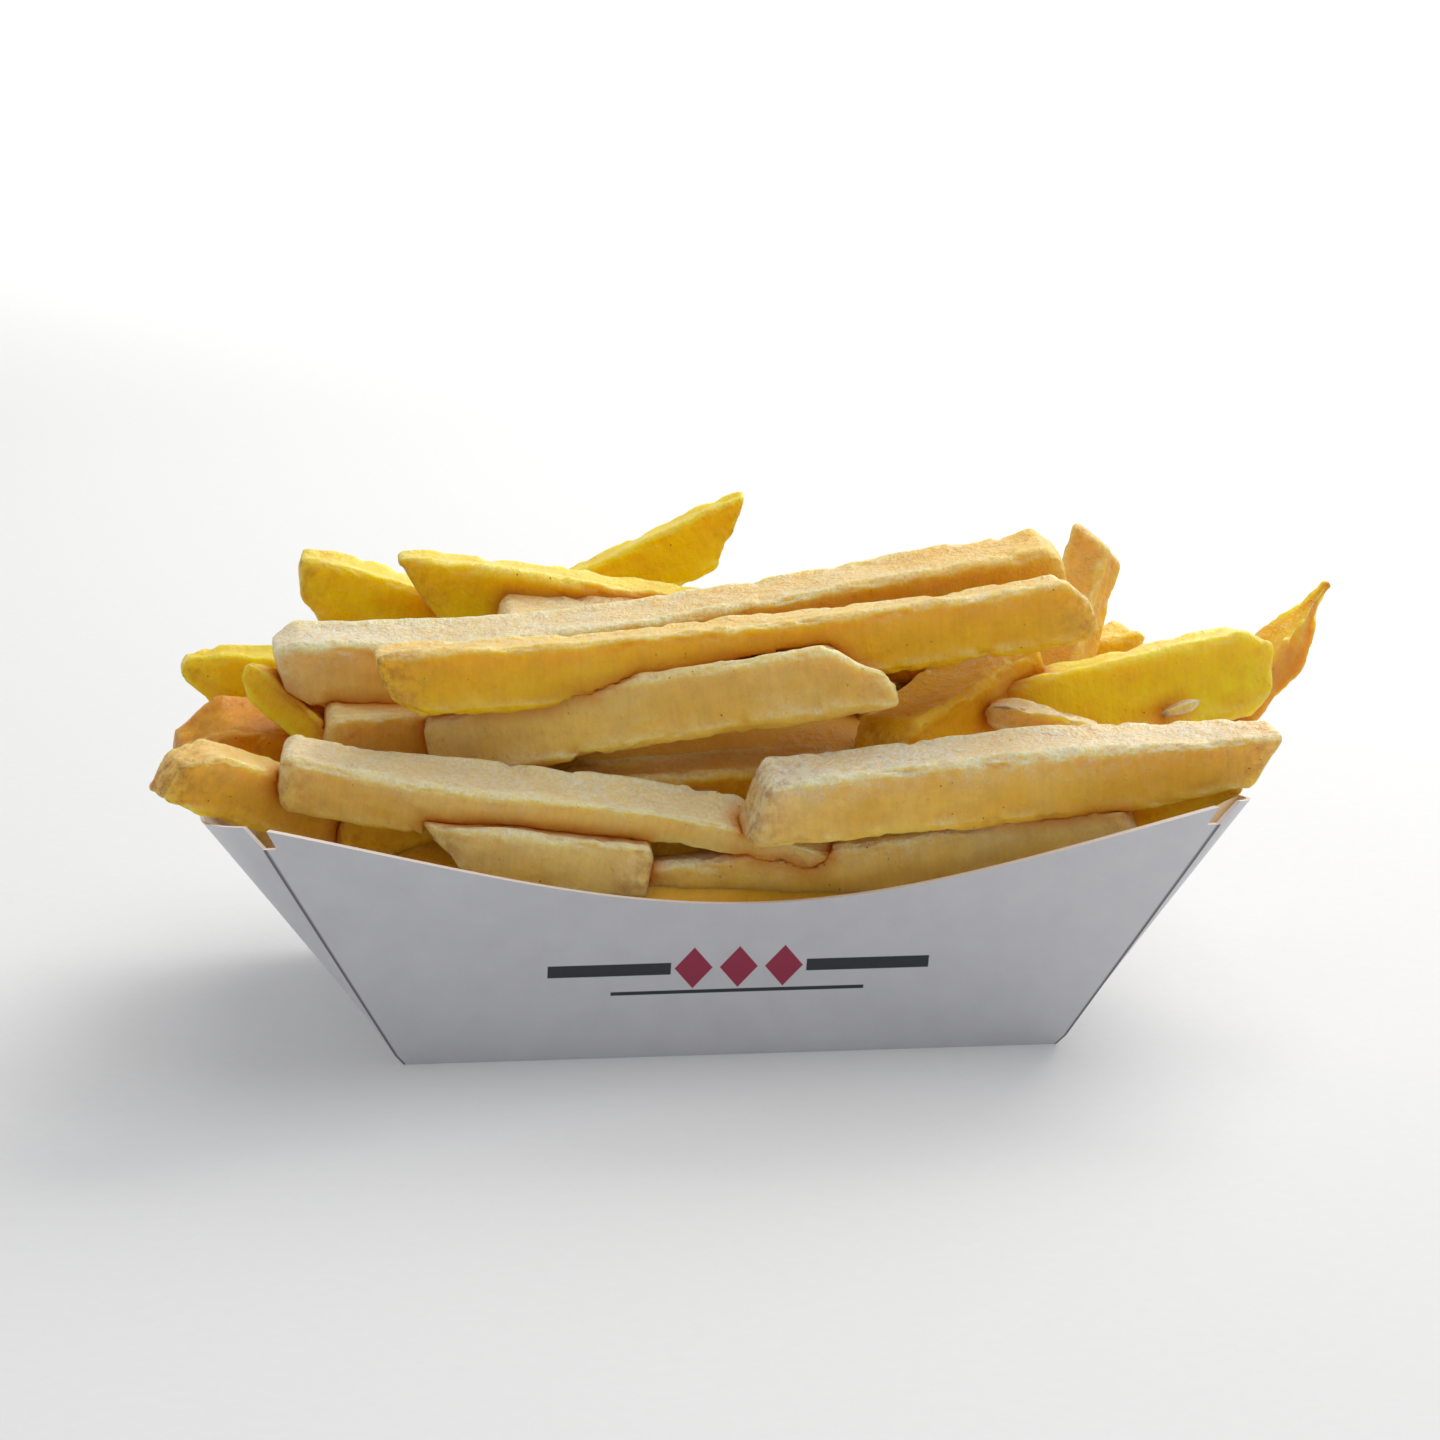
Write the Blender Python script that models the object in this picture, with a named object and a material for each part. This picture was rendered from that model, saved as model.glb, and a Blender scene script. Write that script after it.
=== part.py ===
"""French fries heaped in a folded paperboard tray, modelled in metres with +Z up.

The origin is the middle of the tray's bottom, on the surface that it stands on. X runs along the
tray and -Y is its front. Sizes below are in millimetres, and MM turns them into metres.
"""

import math
import random

import bmesh
import bpy
import numpy as np
from mathutils import Vector

MM = 0.001

# The tray: a flat bottom and four walls that lean out alike, with dipped rims and bowed ends
BOARD = 0.5
TRAY_HEIGHT = 41.0
BOTTOM_LENGTH = 95.0
BOTTOM_DEPTH = 60.0
WALL_FLARE = 20.5
FRONT_DIP = 14.5
DIP_LEAN = 1.04
END_DIP = 8.0
LEFT_BOW = 13.5
RIGHT_BOW = 11.0
FRONT_BOW = 1.2
NOTCH_WIDE = 2.0
NOTCH_DEEP = 3.6
STEP = 0.06
WALL_LEVELS = 7

# The heap: a core that fills the tray, with fries fused on it
CORE_GAP = 0.6
CORE_SHOULDER = 25.0
CORE_RINGS = 40
CORE_DOME = ((30.0, 0.85, -1.0), (35.0, 0.69, -2.0), (40.0, 0.51, -4.0), (44.0, 0.28, -5.0))
CHAMFER = 0.70
HIDDEN_ROWS = (-16.0, -6.0, 4.0, 14.0, 24.0, 33.0, 42.0)
HIDDEN_COLUMNS = (-42.0, 42.0, 0.0, -20.0, 22.0)
HIDDEN_LAYERS = 4
HIDDEN_TRIES = 16
HIDDEN_PRESS = 2.6
SEED = 11

WALLS = (("front", -1), ("right", 1), ("back", 1), ("left", -1))


def clear_scene():
    for obj in list(bpy.data.objects):
        bpy.data.objects.remove(obj)


def material(name, colour, roughness):
    mat = bpy.data.materials.new(name)
    mat.use_nodes = True
    shader = mat.node_tree.nodes["Principled BSDF"]
    shader.inputs["Base Color"].default_value = (*colour, 1.0)
    shader.inputs["Roughness"].default_value = roughness
    shader.inputs["Metallic"].default_value = 0.0
    return mat


def object_from(name, points, faces, mat):
    mesh = bpy.data.meshes.new(name)
    mesh.from_pydata([Vector(p) * MM for p in points], [], faces)
    mesh.materials.append(mat)
    mesh.validate()
    obj = bpy.data.objects.new(name, mesh)
    bpy.context.scene.collection.objects.link(obj)
    return obj


def weld(obj):
    """Makes points that fall together one, as where two walls meet inside a corner."""
    shape = bmesh.new()
    shape.from_mesh(obj.data)
    bmesh.ops.remove_doubles(shape, verts=shape.verts[:], dist=0.001 * MM)
    shape.to_mesh(obj.data)
    shape.free()
    return obj


# The tray's form


def half_sizes(z):
    """Half the length and half the depth of the tray's outside at height z."""
    out = WALL_FLARE * z / TRAY_HEIGHT
    return BOTTOM_LENGTH / 2 + out, BOTTOM_DEPTH / 2 + out


def end_bow(side, z):
    """How far an end wall bows out in its middle at height z."""
    most = RIGHT_BOW if side > 0 else LEFT_BOW
    return most * max(z / TRAY_HEIGHT, 0.0) ** 0.8


def wall_point(wall, share, z, inset, proud=0.0):
    """A point of a wall: share runs from corner to corner, going round anticlockwise from above.

    inset is how far it lies inside the outer face, and proud how far the front or back stands out.
    """
    name, side = WALLS[wall]
    long_half, deep_half = half_sizes(z)
    long_half -= inset
    deep_half -= inset - proud
    swell = math.sin(math.pi * min(max(share, 0.0), 1.0))
    along = 2 * share - 1
    if name in ("front", "back"):
        turn = 1 if name == "front" else -1
        return (turn * along * long_half, -turn * (deep_half + FRONT_BOW * swell * z / TRAY_HEIGHT), z)
    return (side * (long_half + end_bow(side, z) * swell ** 0.55), side * along * deep_half, z)


def rim_height(wall, share):
    """The height of the rim, which dips between the corners, front and back a little more to the right."""
    share = min(max(share, 0.0), 1.0)
    name = WALLS[wall][0]
    if name in ("front", "back"):
        from_left = share if name == "front" else 1 - share
        return TRAY_HEIGHT - FRONT_DIP * math.sin(math.pi * from_left**DIP_LEAN)
    return TRAY_HEIGHT - END_DIP * math.sin(math.pi * share)


def wall_columns():
    """(wall, share, rim height, proud) for each column round the tray. Front and back have a second layer."""
    columns = []
    for wall, (name, _) in enumerate(WALLS):
        long_half, _ = half_sizes(TRAY_HEIGHT)
        if name in ("front", "back"):
            notch = NOTCH_WIDE / (2 * long_half)
            step = STEP / (2 * long_half)
            shares = [0.0, notch, notch + step]
            shares += [notch + step + (1 - 2 * (notch + step)) * i / 22 for i in range(1, 22)]
            shares += [1 - notch - step, 1 - notch, 1.0]
            for i, share in enumerate(shares):
                notched = i < 2 or i >= len(shares) - 2
                low = TRAY_HEIGHT - NOTCH_DEEP if notched else rim_height(wall, share)
                columns.append((wall, share, low, BOARD))
        else:
            for i in range(15):
                share = 0.5 - 0.5 * math.cos(math.pi * i / 14)
                notched = i in (0, 14)
                low = TRAY_HEIGHT - NOTCH_DEEP if notched else rim_height(wall, share)
                columns.append((wall, share, low, 0.0))
    return columns


def build_tray(mat):
    """One closed shell of board: its outside and inside are rings of columns that meet at the rim."""
    columns = wall_columns()
    count = len(columns)
    points = []
    for side in ("outside", "inside"):
        for level in range(WALL_LEVELS):
            share_up = level / (WALL_LEVELS - 1)
            for wall, share, rim, proud in columns:
                if side == "outside":
                    points.append(wall_point(wall, share, rim * share_up, 0.0, proud))
                else:
                    points.append(wall_point(wall, share, BOARD + (rim - BOARD) * share_up, BOARD))
    inner = WALL_LEVELS * count
    faces = []
    for level in range(WALL_LEVELS - 1):
        for i in range(count):
            j = (i + 1) % count
            a, b = level * count + i, level * count + j
            faces.append((a, b, b + count, a + count))
            faces.append((inner + b, inner + a, inner + a + count, inner + b + count))
    top = (WALL_LEVELS - 1) * count
    for i in range(count):
        j = (i + 1) % count
        faces.append((top + i, top + j, inner + top + j, inner + top + i))
    faces.append(tuple(reversed(range(count))))
    faces.append(tuple(inner + i for i in range(count)))
    return weld(object_from("tray", points, faces, mat))


# A fry: a squared stick along a slightly bent line, with a tip at each end


def tip(reach=1.6, wide=0.86, tall=0.86, lift=0.0, slant=0.0, skew=0.0):
    """How a fry ends: it narrows to these shares over reach, and its cut may lean.

    lift keeps the top (1) or the bottom (-1) straight where it narrows. slant is how far the cut's
    top stands out beyond its bottom, and skew how far its near side stands out beyond its far one.
    """
    return {"reach": reach, "wide": wide, "tall": tall, "lift": lift, "slant": slant, "skew": skew}


def fry(name, start, end, wide, tall, roll=0.0, twist=0.0, bow=0.0, wave=0.0, side=0.0, tips=None):
    """A fry from start to end. roll leans its top towards its near side, and twist adds to that on the way.

    bow arches it upwards, side bends it to its near side, and wave lifts the first half and lowers the second.
    """
    first, last = tips or (tip(), tip())
    return {
        "name": name, "start": start, "end": end, "wide": wide, "tall": tall, "roll": roll,
        "twist": twist, "bow": bow, "wave": wave, "side": side, "first": first, "last": last,
    }


SHOWN = (
    # The front row, along the dipped lip
    fry("front_right", (1.5, -42, 40), (74.8, -35, 43.2), 11.0, 10.2, 6, bow=0.6,
        tips=(tip(2, 0.9, 0.86, 0, -3.5), tip(20, 0.85, 0.78, 0.5, 5))),
    fry("front_chunk", (-43, -38.4, 34.2), (-12.6, -38, 30.4), 8.0, 8.6, 4,
        tips=(tip(6, 0.7, 0.5, 1, 4), tip(1, 0.95, 0.95))),
    fry("front_left", (-63.5, -34, 44.6), (12, -36.5, 31.3), 10.8, 8.0, 6, 18, wave=-1.0, bow=0.8,
        tips=(tip(2, 0.9, 0.9, 0, 0.5), tip(55, 0.75, 0.5, 0.5, 2))),
    fry("front_low", (-14, -34, 26.6), (55.5, -38, 36.2), 9.5, 9.5, 4, bow=-1.5,
        tips=(tip(), tip(2, 0.8, 0.8, 0, -2))),
    fry("low_left", (-56, -28, 33), (-8, -26, 25), 10.0, 9.5),
    fry("low_right", (72.4, -33, 39.9), (30, -25, 29), 8.0, 7.2, 5, tips=(tip(9, 0.65, 0.55, 0.2), tip())),
    # The middle row
    fry("middle_long", (-42, -21, 43.5), (21.5, -31.7, 56.3), 9.5, 10.2, -9, bow=0.6,
        tips=(tip(), tip(9, 0.8, 0.5, -0.9, -1.5, 2))),
    fry("middle_short", (-26, -24, 37), (16, -25, 39), 9.0, 8.5, 10),
    fry("left_pale", (-57, -17, 45), (-16, -14, 44), 10.0, 9.5, 4),
    fry("right_broken", (45, -3, 50), (21, -25, 42), 12.0, 9.5, tips=(tip(), tip(4, 0.8, 0.6, 0, -4))),
    fry("right_sliver", (38.5, -17.5, 46.5), (54, -21.5, 43), 5.0, 4.8, bow=0.4, tips=(tip(4, 0.7, 0.7), tip())),
    # The long ones across the top
    fry("upper_front", (-49, -26, 55), (52.5, -20, 62.4), 9.6, 9.8, -6, bow=-1.6,
        tips=(tip(5, 0.8, 0.7, 0.6, 2), tip(4.5, 0.8, 0.55, -0.3, -1.5))),
    fry("upper_back", (-63.6, -11, 54.8), (51, -5, 64.8), 11.5, 10.2, 7, bow=-3.2, wave=-1.0,
        tips=(tip(4, 0.8, 0.7, 0, 1), tip(3, 0.85, 0.8, -0.5, -1))),
    # Behind them, pointing up and out on the left
    fry("left_top", (-60, 22, 60.3), (-6.4, 19, 42.7), 9.5, 9.6, tips=(tip(5, 0.85, 0.72, 0.6, 2), tip())),
    fry("left_wedge", (-43, 12, 60.4), (22, 13, 48), 9.0, 11.0, bow=0.5,
        tips=(tip(4, 0.8, 0.82, 0.5, 8), tip())),
    fry("back_wedge", (-36, 31, 46), (7.6, 28, 66.2), 8.0, 9.4, tips=(tip(), tip(7, 0.6, 0.55, 0.7, 5))),
    fry("left_yellow", (-77.5, 6, 49), (-34, 9, 46), 9.0, 9.2, tips=(tip(6, 0.6, 0.4, 0.5), tip())),
    fry("left_thin", (-68, -10, 54), (-50, -17, 40), 4.6, 5.0, bow=-0.8, tips=(tip(4, 0.5, 0.5), tip())),
    fry("left_flat", (-78, -9, 43), (-38, 0.5, 39.5), 13.0, 9.6, 12, tips=(tip(7, 0.6, 0.35, -0.4), tip())),
    fry("left_over_rim", (-79, -37, 46), (-52, -24, 34.5), 9.5, 9.2, 6,
        tips=(tip(6, 0.75, 0.72, -0.8, -1), tip())),
    # Behind them on the right
    fry("right_top", (60, 14, 65.2), (50, -1, 40), 7.4, 7.0, tips=(tip(1.5, 0.92, 0.9, 0, 0, -4), tip())),
    fry("right_orange", (66, 16, 47), (30, 3, 43), 9.5, 9.0, tips=(tip(2, 0.8, 0.8, 0, 3), tip())),
    fry("right_slab", (83.5, 1, 48), (38, -13, 43.4), 7.0, 13.0, -8,
        tips=(tip(5, 0.75, 0.6, 0, 1.5), tip(10, 0.6, 0.4, 0.6))),
    fry("right_point", (96.5, 16, 56.6), (72, -2, 37.2), 7.0, 6.8, bow=-0.8,
        tips=(tip(15, 0.2, 0.12, 0.3), tip())),
    fry("right_shred", (65.9, -8.9, 43.3), (71.4, -8.9, 45.2), 1.8, 1.6, tips=(tip(1, 0.7, 0.7), tip(2, 0.5, 0.5))),
    # The back row, along the back lip
    fry("back_long", (60, 39, 42), (-14, 40, 39.2), 10.6, 10.2, 6, bow=0.6),
    fry("back_low_left", (-55, 36.5, 36), (6, 36, 28.5), 10.0, 9.6, -4, bow=-0.4),
    fry("back_low_right", (14, 35.5, 28), (52, 37, 33), 9.6, 9.4, 5),
)


def frame_of(item):
    """The fry's start, length, and its axis, and the upward and near-side directions across it."""
    start = np.array(item["start"], float)
    line = np.array(item["end"], float) - start
    length = float(np.linalg.norm(line))
    axis = line / length
    top = np.array((0.0, 0.0, 1.0)) - axis * axis[2]
    top /= np.linalg.norm(top)
    near = np.cross(axis, top)
    if near[1] > 0:
        near = -near
    return start, length, axis, top, near


def fry_ring(item, at, section):
    """One cross-section of a fry, at a distance from its start. section holds points across and up, -1 to 1."""
    start, length, axis, top, near = frame_of(item)
    part = at / length
    turn = math.radians(item["roll"] + item["twist"] * part)
    upward = math.cos(turn) * top + math.sin(turn) * near
    sideways = math.cos(turn) * near - math.sin(turn) * top
    wide, tall, rise, lean, skew = 1.0, 1.0, 0.0, 0.0, 0.0
    for end, gone, out in ((item["first"], at, -1), (item["last"], length - at, 1)):
        left = max(0.0, 1 - gone / end["reach"])
        narrowed = left * left * (3 - 2 * left)
        wide *= 1 - narrowed * (1 - end["wide"])
        tall *= 1 - narrowed * (1 - end["tall"])
        rise += narrowed * (1 - end["tall"]) * end["lift"]
        fade = max(0.0, 1 - gone / max(8.0, abs(end["slant"]), abs(end["skew"])))
        lean += out * 0.5 * fade * end["slant"]
        skew += out * 0.5 * fade * end["skew"]
    arch = 4 * part * (1 - part)
    line = start + top * (arch * item["bow"] + math.sin(2 * math.pi * part) * item["wave"])
    line = line + near * arch * item["side"]
    ring = []
    for across, up in section:
        along = at + lean * up + skew * across
        over = item["tall"] / 2 * (tall * up + rise)
        aside = item["wide"] / 2 * wide * across
        ring.append(line + axis * along + upward * over + sideways * aside)
    return ring


def fry_object(item, mat):
    """The fry as one closed faceted solid: six eight-sided rings and two flat ends."""
    _, length, axis, top, near = frame_of(item)
    section = []
    for across, up in ((1, 1), (-1, 1), (-1, -1), (1, -1)):
        corner = [(across, up * CHAMFER), (across * CHAMFER, up)]
        section += corner if across * up > 0 else corner[::-1]
    first, last = item["first"]["reach"], length - item["last"]["reach"]
    third = (last - first) / 3
    stations = [0, first, first + third, last - third, last, length]
    rings = [fry_ring(item, at, section) for at in stations]
    points = [p for ring in rings for p in ring]
    around = len(section)
    faces = [tuple(reversed(range(around))), tuple(range(len(points) - around, len(points)))]
    for row in range(len(rings) - 1):
        for i in range(around):
            j = (i + 1) % around
            a, b = row * around + i, row * around + j
            faces.append((a, b, b + around, a + around))
    if np.cross(near, top) @ axis < 0:
        faces = [face[::-1] for face in faces]
    return object_from(item["name"], points, faces, mat)


# The fries that the shown ones hide: each comes to lie in the lowest room that it finds in the heap


def nearest(start, end, starts, ends):
    """The distance from the segment start-end to each of the segments starts-ends."""
    u, v, w = end - start, ends - starts, start - starts
    a, b, c = u @ u, v @ u, np.einsum("ij,ij->i", v, v)
    d, e = w @ u, np.einsum("ij,ij->i", v, w)
    s = np.clip((b * e - c * d) / np.maximum(a * c - b * b, 1e-9), 0, 1)
    t = np.clip((b * s + e) / c, 0, 1)
    s = np.clip((b * t - d) / a, 0, 1)
    return np.linalg.norm(w + s[:, None] * u - t[:, None] * v, axis=1)


def core_top(x, y):
    """Roughly how high the core reaches at a place."""
    return 44.0 - 20.0 * np.minimum(np.hypot(x / 66.0, (y + 4.0) / 46.0), 1.0) ** 1.6


def heap_top(x, y):
    """The highest that a hidden fry may reach, so that the heap keeps its shape and its front row shows."""
    dome = 63.0 - 15.0 * np.hypot(x / 100.0, (y - 4.0) / 54.0) ** 2
    return dome - 1.2 * np.maximum(6.0 - y, 0.0)


def clear_of_walls(line, radius, heading):
    """Whether a fry along this line of points stays inside the tray's walls, or passes over its rim."""
    x, y, z = line.T
    low = z - radius - 1.0
    long_half, deep_half = half_sizes(np.maximum(low, 0.0))
    long_room = long_half - radius * abs(math.sin(heading)) - 1.5
    deep_room = deep_half - radius * math.cos(heading) - 1.5
    inside = (np.abs(x) < long_room) & (np.abs(y) < deep_room)
    over = (low > TRAY_HEIGHT + 0.5) & (np.abs(x) < 80) & (np.abs(y) < 56)
    return bool((inside | over).all())


def lowest_room(draw, x, y, starts, ends, radii):
    """A drawn fry near a place, at the lowest free height there, or None if the heap has no room."""
    x, y = x + draw.uniform(-10, 10), y + draw.uniform(-4, 4)
    heading, slope = math.radians(draw.gauss(0, 13)), math.radians(draw.gauss(0, 7))
    longest = max(36.0, min(82.0, 124.0 - 2 * abs(x)))
    length, thick = draw.uniform(0.6 * longest, longest), draw.uniform(8.8, 10.6)
    half = np.array((math.cos(heading), math.sin(heading), math.tan(slope))) * length / 2
    radius = thick / 2
    along = np.linspace(-1, 1, 9)[:, None] * half
    for z in np.arange(24.0, 62.0, 0.9):
        line = np.array((x, y, z)) + along
        if (line[:, 2] + radius > heap_top(line[:, 0], line[:, 1])).any():
            return None
        if (line[:, 2] - radius < core_top(line[:, 0], line[:, 1]) - 5).any():
            continue
        if not clear_of_walls(line, radius, heading):
            continue
        if (nearest(line[0], line[-1], starts, ends) > radii + radius - HIDDEN_PRESS).all():
            return line[0], line[-1], thick
    return None


def hidden_fries():
    """The fries that fill the back and the gaps: layer upon layer, each the lowest of a few drawn at its place."""
    draw = random.Random(SEED)
    placed = list(SHOWN)
    hidden = []
    places = [(x, y) for _ in range(HIDDEN_LAYERS) for y in HIDDEN_ROWS for x in HIDDEN_COLUMNS]
    for x, y in places:
        starts = np.array([f["start"] for f in placed], float)
        ends = np.array([f["end"] for f in placed], float)
        radii = np.array([(f["wide"] + f["tall"]) / 4 for f in placed])
        found = [lowest_room(draw, x, y, starts, ends, radii) for _ in range(HIDDEN_TRIES)]
        found = [f for f in found if f]
        if not found:
            continue
        start, end, thick = min(found, key=lambda f: f[0][2] + f[1][2])
        item = fry("hidden", tuple(start), tuple(end), thick, thick, draw.uniform(-20, 20))
        placed.append(item)
        hidden.append(item)
    return hidden


# The heap


def core_object(mat):
    """The heap's core: it follows the tray's inside up to a shoulder, then closes in a dome towards the front."""
    inset = 2 * BOARD + CORE_GAP
    levels = [(BOARD + CORE_GAP, 1.0, 0.0), (CORE_SHOULDER / 2, 1.0, 0.0), (CORE_SHOULDER, 1.0, 0.0)]
    levels += CORE_DOME
    points = []
    for z, share, shift in levels:
        for i in range(CORE_RINGS):
            wall, part = divmod(4 * i / CORE_RINGS, 1)
            x, y, _ = wall_point(int(wall), part, min(z, CORE_SHOULDER), inset)
            points.append((x * share, y * share + shift, z))
    faces = [tuple(reversed(range(CORE_RINGS)))]
    faces.append(tuple(range(len(points) - CORE_RINGS, len(points))))
    for row in range(len(levels) - 1):
        for i in range(CORE_RINGS):
            j = (i + 1) % CORE_RINGS
            a, b = row * CORE_RINGS + i, row * CORE_RINGS + j
            faces.append((a, b, b + CORE_RINGS, a + CORE_RINGS))
    return object_from("fries", points, faces, mat)


def keep_largest_shell(obj):
    """Fills hollows that fusing has sealed, and drops loose scraps, by keeping only the outer shell."""
    shape = bmesh.new()
    shape.from_mesh(obj.data)
    bmesh.ops.triangulate(shape, faces=shape.faces[:])
    shape.verts.ensure_lookup_table()
    left = set(shape.verts)
    shells = []
    while left:
        stack = [left.pop()]
        shell = set(stack)
        while stack:
            vert = stack.pop()
            for edge in vert.link_edges:
                other = edge.other_vert(vert)
                if other in left:
                    left.discard(other)
                    shell.add(other)
                    stack.append(other)
        shells.append(shell)
    shells.sort(key=len)
    bmesh.ops.delete(shape, geom=[v for shell in shells[:-1] for v in shell], context="VERTS")
    shape.to_mesh(obj.data)
    shape.free()


def build_fries(mat):
    """The whole heap as one solid: a Boolean union of the core and every fry."""
    core = core_object(mat)
    helpers = bpy.data.collections.new("fused fries")
    bpy.context.scene.collection.children.link(helpers)
    for item in list(SHOWN) + hidden_fries():
        obj = fry_object(item, mat)
        bpy.context.scene.collection.objects.unlink(obj)
        helpers.objects.link(obj)
    union = core.modifiers.new("fuse the fries", "BOOLEAN")
    union.operation = "UNION"
    union.operand_type = "COLLECTION"
    union.collection = helpers
    union.solver = "EXACT"
    graph = bpy.context.evaluated_depsgraph_get()
    fused = bpy.data.meshes.new_from_object(core.evaluated_get(graph))
    core.modifiers.clear()
    core.data = fused
    for obj in list(helpers.objects):
        bpy.data.objects.remove(obj)
    bpy.data.collections.remove(helpers)
    keep_largest_shell(core)
    return core


def main():
    clear_scene()
    build_tray(material("white paperboard", (0.80, 0.80, 0.80), 0.45))
    build_fries(material("fried potato", (0.83, 0.62, 0.24), 0.5))


main()
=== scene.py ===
# French fries heaped in a folded paperboard tray: the finish of the real thing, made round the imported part.
# Sizes are in millimetres unless a name says otherwise, and mm turns them into Blender's metres.
# X runs along the tray, -Y is its printed front, and the origin is the middle of its bottom.

import math
import random

import bpy
import numpy as np
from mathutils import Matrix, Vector, noise
from mathutils.bvhtree import BVHTree


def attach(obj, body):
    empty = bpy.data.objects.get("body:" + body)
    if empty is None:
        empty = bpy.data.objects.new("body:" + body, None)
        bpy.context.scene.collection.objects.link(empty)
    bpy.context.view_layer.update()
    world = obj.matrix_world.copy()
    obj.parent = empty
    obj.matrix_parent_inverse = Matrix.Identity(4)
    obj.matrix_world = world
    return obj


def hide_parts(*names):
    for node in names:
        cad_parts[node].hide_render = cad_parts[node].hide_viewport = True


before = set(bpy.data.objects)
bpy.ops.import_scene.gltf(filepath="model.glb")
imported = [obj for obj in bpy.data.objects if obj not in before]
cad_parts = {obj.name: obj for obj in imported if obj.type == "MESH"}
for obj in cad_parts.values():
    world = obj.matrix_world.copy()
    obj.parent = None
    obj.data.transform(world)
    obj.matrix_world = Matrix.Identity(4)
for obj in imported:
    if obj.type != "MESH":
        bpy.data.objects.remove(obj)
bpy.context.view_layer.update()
mm = 0.001
print("frame loaded")


# Small helpers

def hexColour(text):
    # an sRGB hex value as the linear colour that the shaders want
    parts = [int(text[i:i + 2], 16) / 255 for i in (1, 3, 5)]
    return tuple(p / 12.92 if p <= 0.04045 else ((p + 0.055) / 1.055) ** 2.4 for p in parts) + (1.0,)


def addNode(tree, kind, settings=None, links=None):
    # settings are the node's own properties; links are sockets by name or number, given a value or another socket
    node = tree.nodes.new("ShaderNode" + kind)
    for key, value in (settings or {}).items():
        if key == "stops":
            ramp = node.color_ramp.elements
            while len(ramp) < len(value):
                ramp.new(1.0)
            for stop, (place, colour) in zip(ramp, value):
                stop.position = place
                stop.color = hexColour(colour)
        else:
            setattr(node, key, value)
    for key, value in (links or {}).items():
        socket = node.inputs[key]
        if isinstance(value, bpy.types.NodeSocket):
            tree.links.new(value, socket)
        else:
            socket.default_value = value
    return node


def newMaterial(name):
    material = bpy.data.materials.new(name)
    material.use_nodes = True
    material.node_tree.nodes.clear()
    return material, material.node_tree


def meshPiece(name, points, faces, materials, slots=None, values=None):
    # a smooth mesh from points in millimetres, with the named values stored at its points
    mesh = bpy.data.meshes.new(name)
    mesh.from_pydata((np.asarray(points) * mm).tolist(), [], [list(map(int, face)) for face in faces])
    for material in materials:
        mesh.materials.append(material)
    if slots is not None:
        mesh.polygons.foreach_set("material_index", slots)
    for key, array in (values or {}).items():
        array = np.asarray(array, np.float32)
        kind = "FLOAT" if array.ndim == 1 else "FLOAT_VECTOR"
        layer = mesh.attributes.new(key, kind, "POINT")
        layer.data.foreach_set("value" if array.ndim == 1 else "vector", array.ravel())
    mesh.polygons.foreach_set("use_smooth", [True] * len(mesh.polygons))
    mesh.update()
    obj = bpy.data.objects.new(name, mesh)
    bpy.context.scene.collection.objects.link(obj)
    return obj


# Camera: it looks a little down at the tray's front, from a little to its left

cameraLook = {
    "target": (1.3, 0.0, 42.0),
    "distance": 651.0,
    "turn": 5.86,  # degrees to the left of straight ahead
    "above": 13.7,  # degrees above the table
    "lens": 110.0,
    "sensor": 36.0,
}


def addCamera(look):
    turn, above = math.radians(look["turn"]), math.radians(look["above"])
    ahead = Vector((math.sin(turn) * math.cos(above), math.cos(turn) * math.cos(above), -math.sin(above)))
    data = bpy.data.cameras.new("camera")
    data.lens = look["lens"]
    data.sensor_width = look["sensor"]
    data.clip_start = 0.01
    data.clip_end = 20.0
    camera = bpy.data.objects.new("camera", data)
    bpy.context.scene.collection.objects.link(camera)
    camera.location = Vector(look["target"]) * mm - ahead * look["distance"] * mm
    camera.rotation_mode = "QUATERNION"
    camera.rotation_quaternion = ahead.to_track_quat("-Z", "Y")
    bpy.context.scene.camera = camera


# Light: a broad lamp above and behind, a little to the right, and a bright room in front

lightLook = {
    "room": "#F4F6FA",
    "roomStrength": 0.41,
    "lamps": {
        "windowBehind": {"place": (540, 680, 700), "aim": (0, 0, 30), "size": 700, "watts": 9.0, "colour": "#FFFDF8"},
        "skyAbove": {"place": (250, -60, 1100), "aim": (0, 0, 0), "size": 1200, "watts": 5.2, "colour": "#FFFFFF"},
    },
}


def addLights(look):
    world = bpy.data.worlds.new("room")
    world.use_nodes = True
    bpy.context.scene.world = world
    background = world.node_tree.nodes["Background"]
    background.inputs["Color"].default_value = hexColour(look["room"])
    background.inputs["Strength"].default_value = look["roomStrength"]
    for name, lamp in look["lamps"].items():
        data = bpy.data.lights.new(name, "AREA")
        data.size = lamp["size"] * mm
        data.energy = lamp["watts"]
        data.color = hexColour(lamp["colour"])[:3]
        obj = bpy.data.objects.new(name, data)
        bpy.context.scene.collection.objects.link(obj)
        obj.location = Vector(lamp["place"]) * mm
        aim = Vector(lamp["aim"]) * mm - obj.location
        obj.rotation_mode = "QUATERNION"
        obj.rotation_quaternion = aim.to_track_quat("-Z", "Y")
        obj.visible_camera = False


# Floor: a pale sheet that runs flat under the tray and sweeps up far behind it

floorLook = {
    # the colour of the sheet's glow, which is painted light
    "colour": "#F3F3F3",
    "wide": 6000.0,
    "front": -2500.0,
    "bendsAt": 700.0,
    "back": 2600.0,
    "rise": 900.0,
    "below": 0.1,
    "glowFrom": 480.0,
    "glowTo": 1300.0,
    "glow": 1.0,
    "glowNear": 0.17,  # painted light: the whole sheet glows a little, so its shadows stay pale
    "paintedShadeFrom": 40.0,
    "paintedShadeTo": -330.0,
    "paintedShadeLeft": 0.72,
}


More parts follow.
